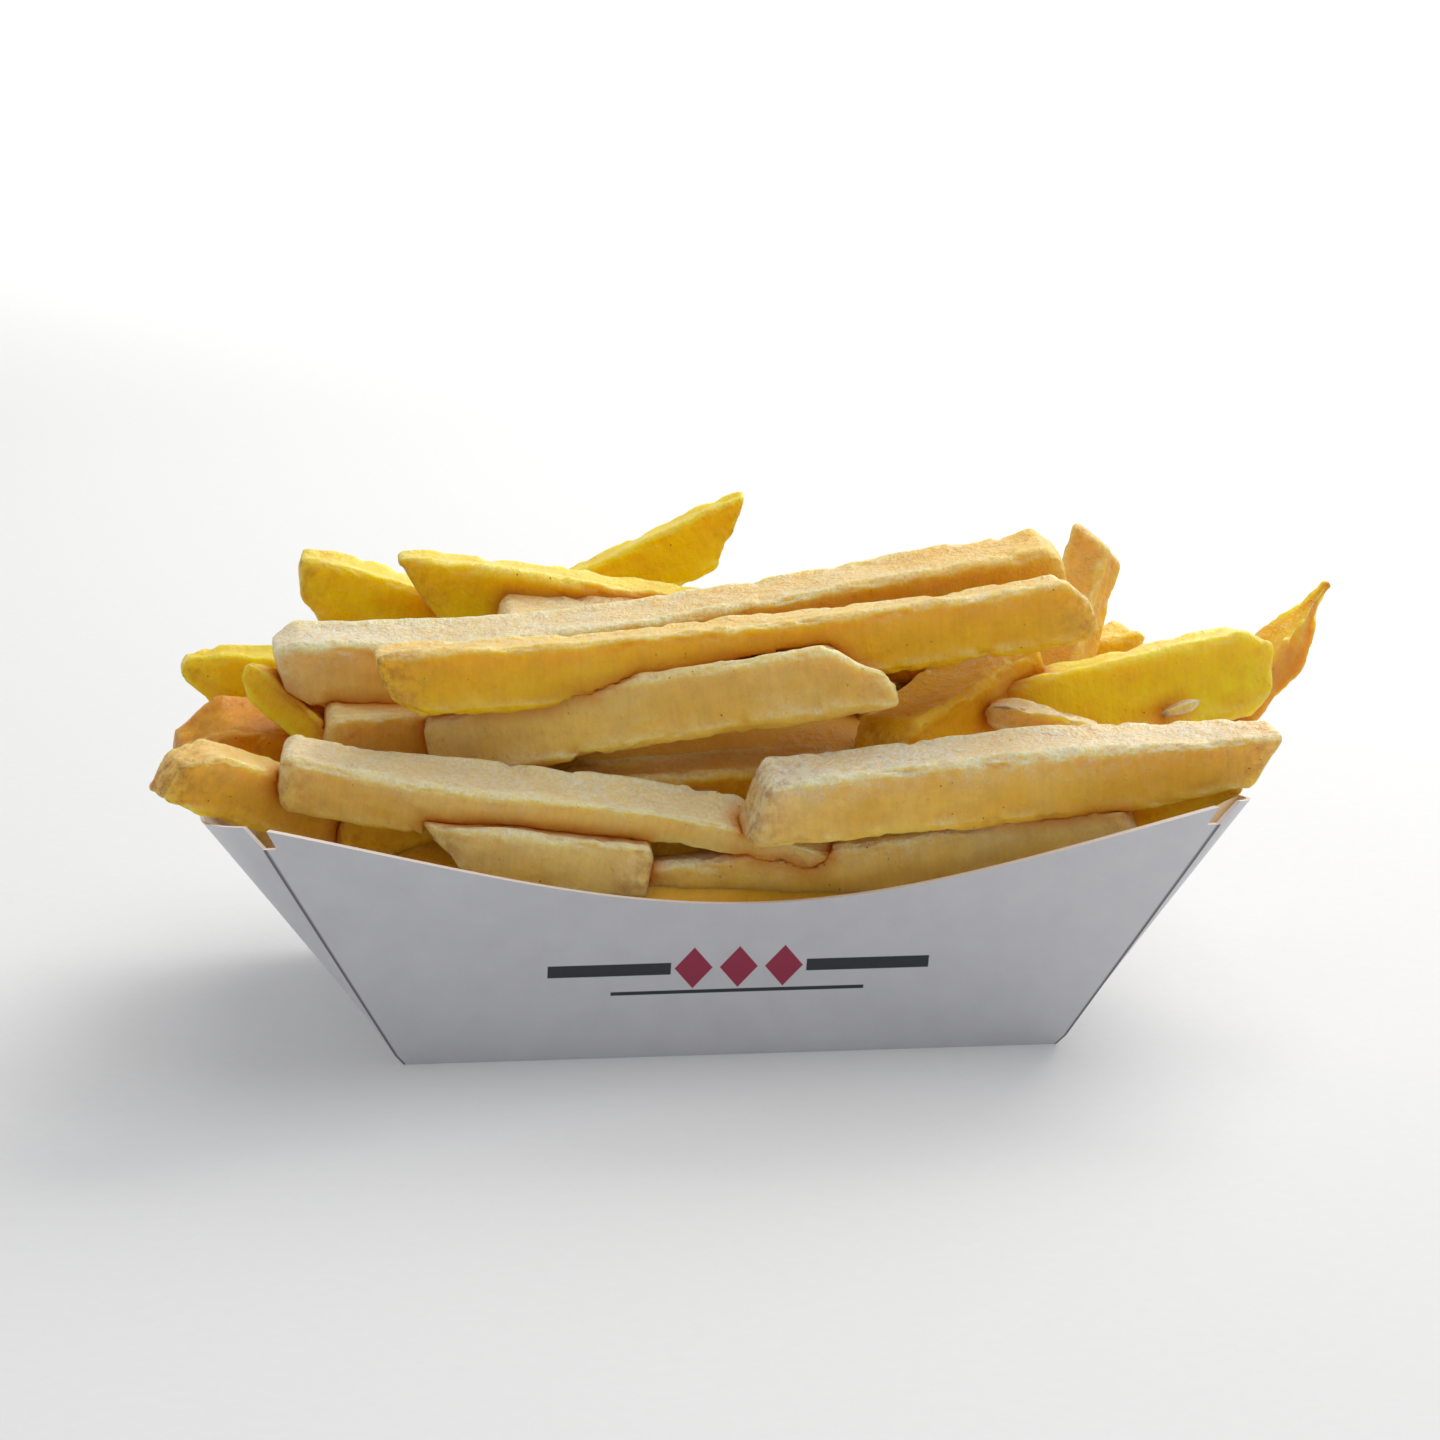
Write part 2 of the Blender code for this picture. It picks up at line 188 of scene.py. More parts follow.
def addFloor(look):
    material, tree = newMaterial("matt white paper sweep")  # no sheen, so it only takes soft shadows
    place = addNode(tree, "TexCoord")
    fibre = addNode(tree, "TexNoise", {}, {"Vector": place.outputs["Object"], "Scale": 1 / (2.0 * mm), "Detail": 3.0})
    tone = addNode(tree, "ValToRGB", {"stops": ((0.0, "#D1D1D1"), (1.0, "#D6D6D6"))}, {"Fac": fibre.outputs[0]})
    # painted light: the sheet glows, faintly near the tray and fully far behind it, so it ends in plain white
    across, behind, _ = addNode(tree, "SeparateXYZ", {}, {0: place.outputs["Object"]}).outputs
    glow = addNode(tree, "MapRange", {"interpolation_type": "SMOOTHSTEP"}, {
        "Value": behind, "From Min": look["glowFrom"] * mm, "From Max": look["glowTo"] * mm,
        "To Min": look["glowNear"], "To Max": look["glow"]}).outputs[0]
    # and the glow is painted dimmer towards the left, as painted shade
    paintedShadeAcross = addNode(tree, "MapRange", {"interpolation_type": "SMOOTHSTEP"}, {
        "Value": across, "From Min": look["paintedShadeTo"] * mm, "From Max": look["paintedShadeFrom"] * mm,
        "To Min": look["paintedShadeLeft"], "To Max": 1.0}).outputs[0]
    glow = addNode(tree, "Math", {"operation": "MULTIPLY"}, {0: glow, 1: paintedShadeAcross}).outputs[0]
    shader = addNode(tree, "BsdfPrincipled", {}, {
        "Base Color": tone.outputs[0], "Roughness": 0.9, "IOR": 1.45,
        "Emission Color": hexColour(look["colour"]), "Emission Strength": glow})
    addNode(tree, "OutputMaterial", {}, {"Surface": shader.outputs[0]})
    points, faces = [], []
    rows = 60
    for i in range(rows + 1):
        y = look["front"] + (look["back"] - look["front"]) * i / rows
        past = max(0.0, (y - look["bendsAt"]) / (look["back"] - look["bendsAt"]))
        z = look["rise"] * past ** 2 - look["below"]
        points += [(-look["wide"] / 2, y, z), (look["wide"] / 2, y, z)]
        if i:
            faces.append((2 * i - 2, 2 * i - 1, 2 * i + 1, 2 * i))
    floor = meshPiece("floor", points, faces, [material])


# Tray: white clay-coated board, folded from one blank, with its front and back panels over the end flaps

trayShape = {
    "board": 0.5,
    "height": 41.0,
    "bottomLength": 95.0,
    "bottomDepth": 60.0,
    "flare": 20.5,
    "frontDip": 14.5,
    "dipLean": 1.04,
    "endDip": 8.0,
    "leftBow": 13.5,
    "rightBow": 11.0,
    "frontBow": 1.2,
    "notchWide": 2.0,
    "notchDeep": 3.6,
    "step": 0.06,
    "foldRound": 0.35,
    "frontColumns": 64,
    "endColumns": 34,
    "levels": 16,
    "waviness": 0.12,
    "waveLength": 34.0,
}

trayWalls = (("front", -1), ("right", 1), ("back", 1), ("left", -1))

boardLook = {
    "coated": "#D3D3D6",
    "coatedDull": "#CCCCD0",
    "inside": "#EFE9DF",
    "cutEdge": "#F3E4DA",
    # the painted shade of the corner creases, a dark grey line down the panels' side edges
    "paintedCreaseShade": "#726E71",
    "paintedCreaseShadeWide": 0.36,
    "fibre": 0.9,
    "roughness": 0.42,
    "ior": 1.5,
}

printLook = {
    "charcoal": "#23282E",
    "crimson": "#9B2244",
    "middleUp": 17.5,
    "barHalfLong": 27.0,
    "barHalfTall": 1.15,
    "openHalf": 9.6,
    "ruleDown": 4.6,
    "ruleHalfLong": 18.0,
    "ruleHalfTall": 0.35,
    "gemSpacing": 6.4,
    "gemHalfWide": 2.7,
    "gemHalfTall": 4.0,
    "soft": 0.06,
}


def halfSizes(z):
    # half the length and half the depth of the tray's outside at a height
    out = trayShape["flare"] * z / trayShape["height"]
    return trayShape["bottomLength"] / 2 + out, trayShape["bottomDepth"] / 2 + out


def endBow(side, z):
    most = trayShape["rightBow"] if side > 0 else trayShape["leftBow"]
    return most * max(z / trayShape["height"], 0.0) ** 0.8


def wallPoint(wall, share, z, inset, proud=0.0):
    # share runs from corner to corner; inset is how far inside the outer face, proud how far front or back stand out
    name, side = trayWalls[wall]
    longHalf, deepHalf = halfSizes(z)
    longHalf -= inset
    deepHalf -= inset - proud
    swell = math.sin(math.pi * min(max(share, 0.0), 1.0))
    along = 2 * share - 1
    if name in ("front", "back"):
        turn = 1 if name == "front" else -1
        bow = trayShape["frontBow"] * swell * z / trayShape["height"]
        return (turn * along * longHalf, -turn * (deepHalf + bow), z)
    return (side * (longHalf + endBow(side, z) * swell ** 0.55), side * along * deepHalf, z)


def rimHeight(wall, share):
    share = min(max(share, 0.0), 1.0)
    name = trayWalls[wall][0]
    if name in ("front", "back"):
        fromLeft = share if name == "front" else 1 - share
        return trayShape["height"] - trayShape["frontDip"] * math.sin(math.pi * fromLeft ** trayShape["dipLean"])
    return trayShape["height"] - trayShape["endDip"] * math.sin(math.pi * share)


def wallColumns():
    # (wall, share, rim height, proud, how much of the painted shade of the corner creases shows) for each column round
    # the tray
    columns = []
    low = trayShape["height"] - trayShape["notchDeep"]
    for wall, (name, _) in enumerate(trayWalls):
        longHalf, _ = halfSizes(trayShape["height"])
        if name in ("front", "back"):
            notch = trayShape["notchWide"] / (2 * longHalf)
            step = trayShape["step"] / (2 * longHalf)
            paintedCreaseShade = boardLook["paintedCreaseShadeWide"] / (2 * longHalf)
            start = notch + step
            shares = [0.0, paintedCreaseShade, 2 * paintedCreaseShade, notch]
            count = trayShape["frontColumns"]
            shares += [start + (1 - 2 * start) * i / count for i in range(count + 1)]
            shares += [1 - notch, 1 - 2 * paintedCreaseShade, 1 - paintedCreaseShade, 1.0]
            for i, share in enumerate(shares):
                notched = i < 4 or i >= len(shares) - 4
                shown = 1.0 if i in (0, 1, len(shares) - 2, len(shares) - 1) else 0.0
                columns.append((wall, share, low if notched else rimHeight(wall, share), trayShape["board"], shown))
        else:
            count = trayShape["endColumns"]
            for i in range(count + 1):
                share = 0.5 - 0.5 * math.cos(math.pi * i / count)
                notched = i in (0, count)
                columns.append((wall, share, low if notched else rimHeight(wall, share), 0.0, 0.0))
    return columns


def buildTray(materials):
    columns = wallColumns()
    count = len(columns)
    levels = trayShape["levels"]
    board = trayShape["board"]
    fold = trayShape["foldRound"]
    points, panelAcross, panelUp, printed, creased = [], [], [], [], []
    slope = math.hypot(trayShape["flare"], trayShape["height"]) / trayShape["height"]
    for side in ("outside", "inside"):
        for level in range(levels):
            shareUp = (level / (levels - 1)) ** 1.15
            for wall, share, rim, proud, shown in columns:
                if side == "outside":
                    z = rim * shareUp
                    z, inset = (0.0, fold) if level == 0 else (max(z, fold), 0.0)
                    point = wallPoint(wall, share, z, inset, proud)
                else:
                    z = board + (rim - board) * shareUp
                    point = wallPoint(wall, share, z, board)
                # the board isn't perfectly flat: both faces move together
                name, facing = trayWalls[wall]
                place = Vector((point[0], point[1], z)) / trayShape["waveLength"]
                calm = min(1.0, z / 12.0) * math.sin(math.pi * min(max(share, 0.0), 1.0))
                shift = trayShape["waviness"] * 2 * noise.noise(place) * calm
                x, y, z = point
                if name in ("front", "back"):
                    y += facing * shift
                else:
                    x += facing * shift
                points.append((x, y, z))
                turn = 1 if wall == 0 else -1
                panelAcross.append(turn * x if name in ("front", "back") else y)
                panelUp.append(z * slope)
                printed.append(1.0 if side == "outside" and name in ("front", "back") else 0.0)
                creased.append(shown if side == "outside" else 0.0)
    inner = levels * count
    faces, slots = [], []
    for level in range(levels - 1):
        for i in range(count):
            j = (i + 1) % count
            a, b = level * count + i, level * count + j
            faces.append((a, b, b + count, a + count))
            sameWall = columns[i][0] == columns[j][0]
            slots.append(0 if sameWall else 2)
            faces.append((inner + b, inner + a, inner + a + count, inner + b + count))
            slots.append(1)
    top = (levels - 1) * count
    for i in range(count):
        j = (i + 1) % count
        faces.append((top + i, top + j, inner + top + j, inner + top + i))
        slots.append(2)
    faces.append(tuple(reversed(range(count))))
    slots.append(0)
    faces.append(tuple(inner + i for i in range(count)))
    slots.append(1)
    values = {"panelAcross": panelAcross, "panelUp": panelUp, "printed": printed, "creased": creased}
    tray = meshPiece("trayBoard", points, faces, materials, slots, values)
    tray.data.set_sharp_from_angle(angle=math.radians(35))
    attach(tray, "root")
    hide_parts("tray")
    return tray


def boxMask(tree, across, up, halfWide, halfTall, soft):
    # 1 inside a rectangle round the point where across and up are nought, with an edge as soft as ink on board
    masks = []
    for value, half in ((across, halfWide), (up, halfTall)):
        size = addNode(tree, "Math", {"operation": "ABSOLUTE"}, {0: value})
        masks.append(addNode(tree, "MapRange", {"clamp": True}, {
            "Value": size.outputs[0], "From Min": half - soft, "From Max": half + soft, "To Min": 1.0, "To Max": 0.0}))
    return addNode(tree, "Math", {"operation": "MULTIPLY"}, {0: masks[0].outputs[0], 1: masks[1].outputs[0]}).outputs[0]


def gemMask(tree, across, up, halfWide, halfTall, soft):
    # 1 inside a lozenge
    wide = addNode(tree, "Math", {"operation": "ABSOLUTE"}, {0: across})
    tall = addNode(tree, "Math", {"operation": "ABSOLUTE"}, {0: up})
    wideShare = addNode(tree, "Math", {"operation": "DIVIDE"}, {0: wide.outputs[0], 1: halfWide})
    share = addNode(tree, "Math", {"operation": "MULTIPLY_ADD"}, {
        0: tall.outputs[0], 1: 1 / halfTall, 2: wideShare.outputs[0]})
    edge = soft / halfWide
    return addNode(tree, "MapRange", {"clamp": True}, {
        "Value": share.outputs[0], "From Min": 1 - edge, "From Max": 1 + edge,
        "To Min": 1.0, "To Max": 0.0}).outputs[0]


def printMasks(tree, look):
    # a charcoal rule broken by three crimson lozenges, with a thin rule under it
    across = addNode(tree, "Attribute", {"attribute_name": "panelAcross"}).outputs["Fac"]
    up = addNode(tree, "Attribute", {"attribute_name": "panelUp"}).outputs["Fac"]
    printed = addNode(tree, "Attribute", {"attribute_name": "printed"}).outputs["Fac"]
    above = addNode(tree, "Math", {"operation": "SUBTRACT"}, {0: up, 1: look["middleUp"]}).outputs[0]
    below = addNode(tree, "Math", {"operation": "ADD"}, {0: above, 1: look["ruleDown"]}).outputs[0]
    soft = look["soft"]
    bar = boxMask(tree, across, above, look["barHalfLong"], look["barHalfTall"], soft)
    opening = boxMask(tree, across, above, look["openHalf"], 10.0, soft)
    shown = addNode(tree, "Math", {"operation": "SUBTRACT", "use_clamp": True}, {0: bar, 1: opening}).outputs[0]
    rule = boxMask(tree, across, below, look["ruleHalfLong"], look["ruleHalfTall"], soft)
    dark = addNode(tree, "Math", {"operation": "MAXIMUM"}, {0: shown, 1: rule}).outputs[0]
    red = None
    for i in (-1, 0, 1):
        moved = addNode(tree, "Math", {"operation": "SUBTRACT"}, {0: across, 1: i * look["gemSpacing"]}).outputs[0]
        gem = gemMask(tree, moved, above, look["gemHalfWide"], look["gemHalfTall"], soft)
        red = gem if red is None else addNode(tree, "Math", {"operation": "MAXIMUM"}, {0: red, 1: gem}).outputs[0]
    dark = addNode(tree, "Math", {"operation": "MULTIPLY"}, {0: dark, 1: printed}).outputs[0]
    red = addNode(tree, "Math", {"operation": "MULTIPLY"}, {0: red, 1: printed}).outputs[0]
    return dark, red


def coatedBoard(look, ink):
    # clay coating rolled smooth on white board: near white, a soft satin gloss and the faint cloud of its fibres
    material, tree = newMaterial("clay-coated white paperboard")
    place = addNode(tree, "TexCoord").outputs["Object"]
    cloud = addNode(tree, "TexNoise", {}, {"Vector": place, "Scale": 1 / (6.0 * mm), "Detail": 4.0, "Roughness": 0.6})
    tone = addNode(tree, "ValToRGB", {"stops": ((0.3, look["coatedDull"]), (0.7, look["coated"]))}, {
        "Fac": cloud.outputs[0]})
    # paper fibres are some 0.03 mm wide; they are drawn at 0.9 mm, or they wouldn't show
    fibre = addNode(tree, "TexNoise", {}, {"Vector": place, "Scale": 1 / (look["fibre"] * mm), "Detail": 3.0})
    dark, red = printMasks(tree, ink)
    inked = addNode(tree, "Mix", {"data_type": "RGBA"}, {0: dark, 6: tone.outputs[0], 7: hexColour(ink["charcoal"])})
    inked = addNode(tree, "Mix", {"data_type": "RGBA"}, {0: red, 6: inked.outputs[2], 7: hexColour(ink["crimson"])})
    # painted shade: a dark grey line down each side edge of the front and back panels, where the corner lies in shade
    creased = addNode(tree, "Attribute", {"attribute_name": "creased"}).outputs["Fac"]
    colour = addNode(tree, "Mix", {"data_type": "RGBA"}, {
        0: creased, 6: inked.outputs[2], 7: hexColour(look["paintedCreaseShade"])})
    rough = addNode(tree, "MapRange", {}, {
        "Value": cloud.outputs[0], "To Min": look["roughness"] - 0.06, "To Max": look["roughness"] + 0.08})
    bump = addNode(tree, "Bump", {}, {"Height": fibre.outputs[0], "Strength": 0.25, "Distance": 0.03 * mm})
    shader = addNode(tree, "BsdfPrincipled", {}, {
        "Base Color": colour.outputs[2], "Roughness": rough.outputs[0], "IOR": look["ior"],
        "Normal": bump.outputs[0]})
    addNode(tree, "OutputMaterial", {}, {"Surface": shader.outputs[0]})
    return material


def plainBoard(name, colour, roughness):
    # uncoated board: matt and slightly woolly, as the fibres stand up where no clay lies
    material, tree = newMaterial(name)
    place = addNode(tree, "TexCoord").outputs["Object"]
    fibre = addNode(tree, "TexNoise", {}, {"Vector": place, "Scale": 1 / (1.1 * mm), "Detail": 5.0, "Roughness": 0.7})
    tone = addNode(tree, "HueSaturation", {}, {"Color": hexColour(colour)})
    value = addNode(tree, "MapRange", {}, {"Value": fibre.outputs[0], "To Min": 0.9, "To Max": 1.06})
    tree.links.new(value.outputs[0], tone.inputs["Value"])
    bump = addNode(tree, "Bump", {}, {"Height": fibre.outputs[0], "Strength": 0.5, "Distance": 0.05 * mm})
    shader = addNode(tree, "BsdfPrincipled", {}, {
        "Base Color": tone.outputs[0], "Roughness": roughness, "IOR": 1.5, "Normal": bump.outputs[0]})
    addNode(tree, "OutputMaterial", {}, {"Surface": shader.outputs[0]})
    return material


# Fries: squared sticks of potato along slightly bent lines, each with its own ends, colour and degree of frying

fryShape = {
    "flatSteps": 11,
    "cornerSteps": 7,
    "corner": 0.26,  # the corners' radius as a share of half the width
    "stepAlong": 0.5,
    "rimRadius": 1.3,
    "capRings": (0.9, 0.76, 0.6, 0.42, 0.22),
    "sink": 0.42,  # how far the middle of a face sinks between its edges
    "waves": ((13.0, 0.5), (4.6, 0.3), (1.9, 0.2), (1.0, 0.13)),  # (length, height) of the unevenness
    "chip": (2.2, 0.95),  # (length, depth) of the chips along the edges
    "gap": 0.03,  # between a fry and the one it lies on
    "near": 2.8,  # up to this distance from another fry, the painted orange shade and bounce light of the gap is laid on
    "stretch": 2.2,  # the unevenness is longer along the fry than across it
}

friedPotatoLook = {
    "pale": "#F6D888",
    "golden": "#F6C448",
    "amber": "#FAC818",
    "lemon": "#FFE00A",
    "deep": "#E8A01E",
    # the white of the dry crust, which on upturned faces is also a painted highlight
    "frost": "#FFFAEC",
    "paintedEdgeHighlight": "#FFF6D2",  # painted highlight along the thin edge between two faces, where it faces up
    "paintedEdgeHighlightShare": 0.8,
    "paintedUndersideShade": 0.07,  # painted shade: how much more golden the underside is painted than the top
    "frostedEnd": 0.5,
    "toasted": "#AE701F",
    "toastedEdge": 0.25,  # edges brown less than tips
    "between": "#E08A18",  # painted shade and bounce light where two fries touch
    "contactStops": 0.85,
    "speck": "#6E3A14",
    "patch": 8.0,
    "mottle": 1.6,
    "grain": 0.65,
    "blister": 1.25,
    "cloud": 3.4,
    "streak": 0.8,
    "smoothSides": 0.45,
    "speckSpacing": 1.5,
    "through": 1.0,  # the share of light that enters; a frosted crust lets less in
    "crustStops": 0.8,
    "scatter": 3.4,  # how far light travels inside, in millimetres
    "scatterTint": (1.0, 0.88, 0.36),
    "roughness": 0.34,
    "ior": 1.37,
}


def tip(reach=1.6, wide=0.86, tall=0.86, lift=0.0, slant=0.0, skew=0.0, torn=0.25):
    # torn is how rough the cut face is
    return {"reach": reach, "wide": wide, "tall": tall, "lift": lift, "slant": slant, "skew": skew, "torn": torn}


def fry(name, start, end, wide, tall, roll=0.0, twist=0.0, bow=0.0, wave=0.0, side=0.0, tips=None, cook=None):
    # cook is (tone from pale to golden at its start, the same at its end, how toasted its edges are, how much white
    # crust and painted sheen its start has, the same at its end if that differs); the tones also hold painted light and
    # shade
    first, last = tips or (tip(), tip())
    return {
        "name": name, "start": start, "end": end, "wide": wide, "tall": tall, "roll": roll, "twist": twist,
        "bow": bow, "wave": wave, "side": side, "first": first, "last": last, "cook": cook or (0.48, 0.48, 0.3, 0.3)}


# each fry's tone is partly painted light and shade: some fries lying in shade got deeper orange tones, and some paler
# ones to lift them
heapRows = {
    "friesFront": (
        fry("front_right", (1.5, -42, 40), (74.8, -35, 43.2), 11.0, 10.2, 6, bow=0.6,
            tips=(tip(2, 0.9, 0.86, 0, -3.5), tip(20, 0.85, 0.78, 0.5, 5)), cook=(0.16, 0.38, 0.7, 1.0, 0.7)),
        fry("front_chunk", (-43, -38.4, 34.2), (-12.6, -38, 30.4), 8.0, 8.6, 4,
            tips=(tip(6, 0.7, 0.5, 1, 4, torn=0.9), tip(1, 0.95, 0.95, torn=0.5)), cook=(0.04, 0.12, 0.7, 0.6)),
        fry("front_left", (-63.5, -34, 44.6), (12, -36.5, 31.3), 10.8, 8.0, 6, 18, wave=-1.0, bow=0.8,
            tips=(tip(2, 0.9, 0.9, 0, 0.5), tip(55, 0.75, 0.5, 0.5, 2, torn=0.8)), cook=(0.2, 0.08, 0.5, 0.6)),
        fry("front_low", (-14, -34, 26.6), (55.5, -38, 36.2), 9.5, 9.5, 4, bow=-1.5,
            tips=(tip(), tip(2, 0.8, 0.8, 0, -2)), cook=(0.32, 0, 0.5, 0.7)),
        fry("low_left", (-56, -28, 33), (-8, -26, 25), 10.0, 9.5, cook=(0.56, 0.56, 0.6, 0.1)),
        fry("low_right", (72.4, -33, 39.9), (30, -25, 29), 8.0, 7.2, 5,
            tips=(tip(9, 0.65, 0.55, 0.2), tip()), cook=(0.6, 0.6, 0.8, 0.1)),
    ),
    "friesMiddle": (
        fry("middle_long", (-42, -21, 43.5), (21.5, -31.7, 56.3), 9.5, 10.2, -9, bow=0.6,
            tips=(tip(), tip(9, 0.8, 0.5, -0.9, -1.5, 2, torn=0.8)), cook=(0.16, 0.2, 0.2, 0.4)),
        fry("middle_short", (-26, -24, 37), (16, -25, 39), 9.0, 8.5, 10),
        fry("left_pale", (-57, -17, 45), (-16, -14, 44), 10.0, 9.5, 4, cook=(0.24, 0.28, 0.2, 0.3)),
        fry("right_broken", (45, -3, 50), (21, -25, 42), 12.0, 9.5,
            tips=(tip(), tip(4, 0.8, 0.6, 0, -4, torn=0.9)), cook=(0.64, 0.6, 0.3, 0.0)),
        fry("right_sliver", (38.5, -17.5, 46.5), (54, -21.5, 43), 5.0, 4.8, bow=0.4,
            tips=(tip(4, 0.7, 0.7), tip()), cook=(0.08, 0.08, 0.1, 0.6)),
    ),
    "friesTop": (
        fry("upper_front", (-49, -26, 55), (52.5, -20, 62.4), 9.6, 9.8, -6, bow=-1.6,
            tips=(tip(5, 0.8, 0.7, 0.6, 2), tip(4.5, 0.8, 0.55, -0.3, -1.5)), cook=(0.53, 0.5, 0.9, 0.3, 0.45)),
        fry("upper_back", (-63.6, -11, 54.8), (51, -5, 64.8), 11.5, 10.2, 7, bow=-3.2, wave=-1.0,
            tips=(tip(4, 0.8, 0.7, 0, 1), tip(3, 0.85, 0.8, -0.5, -1)), cook=(0.12, 0.45, 0.2, 0.95, 0.15)),
    ),
    "friesLeft": (
        fry("left_top", (-60, 22, 60.3), (-6.4, 19, 42.7), 9.5, 9.6,
            tips=(tip(5, 0.85, 0.72, 0.6, 2), tip()), cook=(0.8, 0.8, 0.5, 0.12)),
        fry("left_wedge", (-43, 12, 60.4), (22, 13, 48), 9.0, 11.0, bow=0.5,
            tips=(tip(4, 0.8, 0.82, 0.5, 8), tip()), cook=(0.8, 0.8, 0.45, 0.15)),
        fry("back_wedge", (-36, 31, 46), (7.6, 28, 66.2), 8.0, 9.4,
            tips=(tip(), tip(7, 0.6, 0.55, 0.7, 5)), cook=(0.8, 0.8, 0.6, 0.1)),
        fry("left_yellow", (-77.5, 6, 49), (-34, 9, 46), 9.0, 9.2,
            tips=(tip(6, 0.6, 0.4, 0.5), tip()), cook=(0.8, 0.8, 0.45, 0.05)),
        fry("left_thin", (-68, -10, 54), (-50, -17, 40), 4.6, 5.0, bow=-0.8,
            tips=(tip(4, 0.5, 0.5), tip()), cook=(0.64, 0.64, 0.4, 0.0)),
        fry("left_flat", (-78, -9, 43), (-38, 0.5, 39.5), 13.0, 9.6, 12,
            tips=(tip(7, 0.6, 0.35, -0.4), tip()), cook=(1.1, 1.1, 0.7, 0.0)),
        fry("left_over_rim", (-79, -37, 46), (-52, -24, 34.5), 9.5, 9.2, 6,
            tips=(tip(6, 0.75, 0.72, -0.8, -1), tip()), cook=(0.36, 0.32, 0.9, 0.2)),
    ),
    "friesRight": (
        fry("right_top", (60, 14, 65.2), (50, -1, 40), 7.4, 7.0,
            tips=(tip(1.5, 0.92, 0.9, 0, 0, -4), tip()), cook=(0.4, 0.5, 0.4, 0.15)),
        fry("right_orange", (66, 16, 47), (30, 3, 43), 9.5, 9.0,
            tips=(tip(2, 0.8, 0.8, 0, 3), tip()), cook=(0.72, 0.8, 0.5, 0.1)),
        fry("right_slab", (83.5, 1, 48), (38, -13, 43.4), 7.0, 13.0, -8,
            tips=(tip(5, 0.75, 0.6, 0, 1.5), tip(10, 0.6, 0.4, 0.6)), cook=(0.78, 0.84, 0.15, 0.12)),
        fry("right_point", (96.5, 16, 56.6), (72, -2, 37.2), 7.0, 6.8, bow=-0.8,
            tips=(tip(15, 0.2, 0.12, 0.3), tip()), cook=(1.0, 1.0, 1.0, 0.0)),
        fry("right_shred", (65.9, -8.9, 43.3), (71.4, -8.9, 45.2), 1.8, 1.6,
            tips=(tip(1, 0.7, 0.7), tip(2, 0.5, 0.5)), cook=(0, 0, 0.1, 1.0)),
    ),
    "friesBack": (
        fry("back_long", (60, 39, 42), (-14, 40, 39.2), 10.6, 10.2, 6, bow=0.6, cook=(0.32, 0.4, 0.4, 0.7)),
        fry("back_low_left", (-55, 36.5, 36), (6, 36, 28.5), 10.0, 9.6, -4, bow=-0.4),
        fry("back_low_right", (14, 35.5, 28), (52, 37, 33), 9.6, 9.4, 5),
    ),
}


def fryFrame(item):
    # the fry's start and length, its axis, and the upward and near-side directions across it
    start = np.array(item["start"], float)
    line = np.array(item["end"], float) - start
    length = float(np.linalg.norm(line))
    axis = line / length
    top = np.array((0.0, 0.0, 1.0)) - axis * axis[2]
    top /= np.linalg.norm(top)
    near = np.cross(axis, top)
    if near[1] > 0:
        near = -near
    return start, length, axis, top, near


def fryRing(item, at, across, up):
    # points of the fry at a distance from its start; across and up run from -1 to 1
    start, length, axis, top, near = fryFrame(item)
    part = at / length
    turn = math.radians(item["roll"] + item["twist"] * part)
    upward = math.cos(turn) * top + math.sin(turn) * near
    sideways = math.cos(turn) * near - math.sin(turn) * top
    wide, tall, rise, lean, skew = 1.0, 1.0, 0.0, 0.0, 0.0
    for end, gone, out in ((item["first"], at, -1), (item["last"], length - at, 1)):
        left = max(0.0, 1 - gone / end["reach"])
        narrowed = left * left * (3 - 2 * left)
        wide *= 1 - narrowed * (1 - end["wide"])
        tall *= 1 - narrowed * (1 - end["tall"])
        rise += narrowed * (1 - end["tall"]) * end["lift"]
        fade = max(0.0, 1 - gone / max(8.0, abs(end["slant"]), abs(end["skew"])))
        lean += out * 0.5 * fade * end["slant"]
        skew += out * 0.5 * fade * end["skew"]
    arch = 4 * part * (1 - part)
    line = start + top * (arch * item["bow"] + math.sin(2 * math.pi * part) * item["wave"])
    line = line + near * arch * item["side"]
    along = at + lean * up + skew * across
    over = item["tall"] / 2 * (tall * up + rise)
    aside = item["wide"] / 2 * wide * across
    points = line + along[:, None] * axis + over[:, None] * upward + aside[:, None] * sideways
    return points, sideways, upward, np.stack([along, aside, over], axis=1)


def squaredSection(shape):
    # points round a square with rounded corners, the way out at each, and how near each is to a corner
    corner = shape["corner"]
    flat, arc = shape["flatSteps"], shape["cornerSteps"]
    outline = []
    for i in range(flat):
        up = (1 - corner) * (2 * i / flat - 1)
        toCorner = (1 - corner) - abs(up)
        outline.append((1.0, up, 1.0, 0.0, math.exp(-toCorner / 0.16)))
    for i in range(arc):
        turn = math.pi / 2 * i / arc
        x, y = math.cos(turn), math.sin(turn)
        outline.append((1 - corner + corner * x, 1 - corner + corner * y, x, y, 1.0))
    quarter = np.array(outline)
    turned = [quarter]
    for _ in range(3):
        last = turned[-1]
        turned.append(np.stack([-last[:, 1], last[:, 0], -last[:, 3], last[:, 2], last[:, 4]], axis=1))
    full = np.concatenate(turned)
    return full[:, :2], full[:, 2:4], full[:, 4]


def fryStations(item, length, step, rim):
    ends = [0.0, 0.12 * rim, 0.35 * rim, 0.7 * rim, 1.2 * rim]
    middle = np.linspace(ends[-1], length - ends[-1], max(6, int(length / step)))[1:-1]
    return np.array(ends + middle.tolist() + [length - e for e in reversed(ends)])


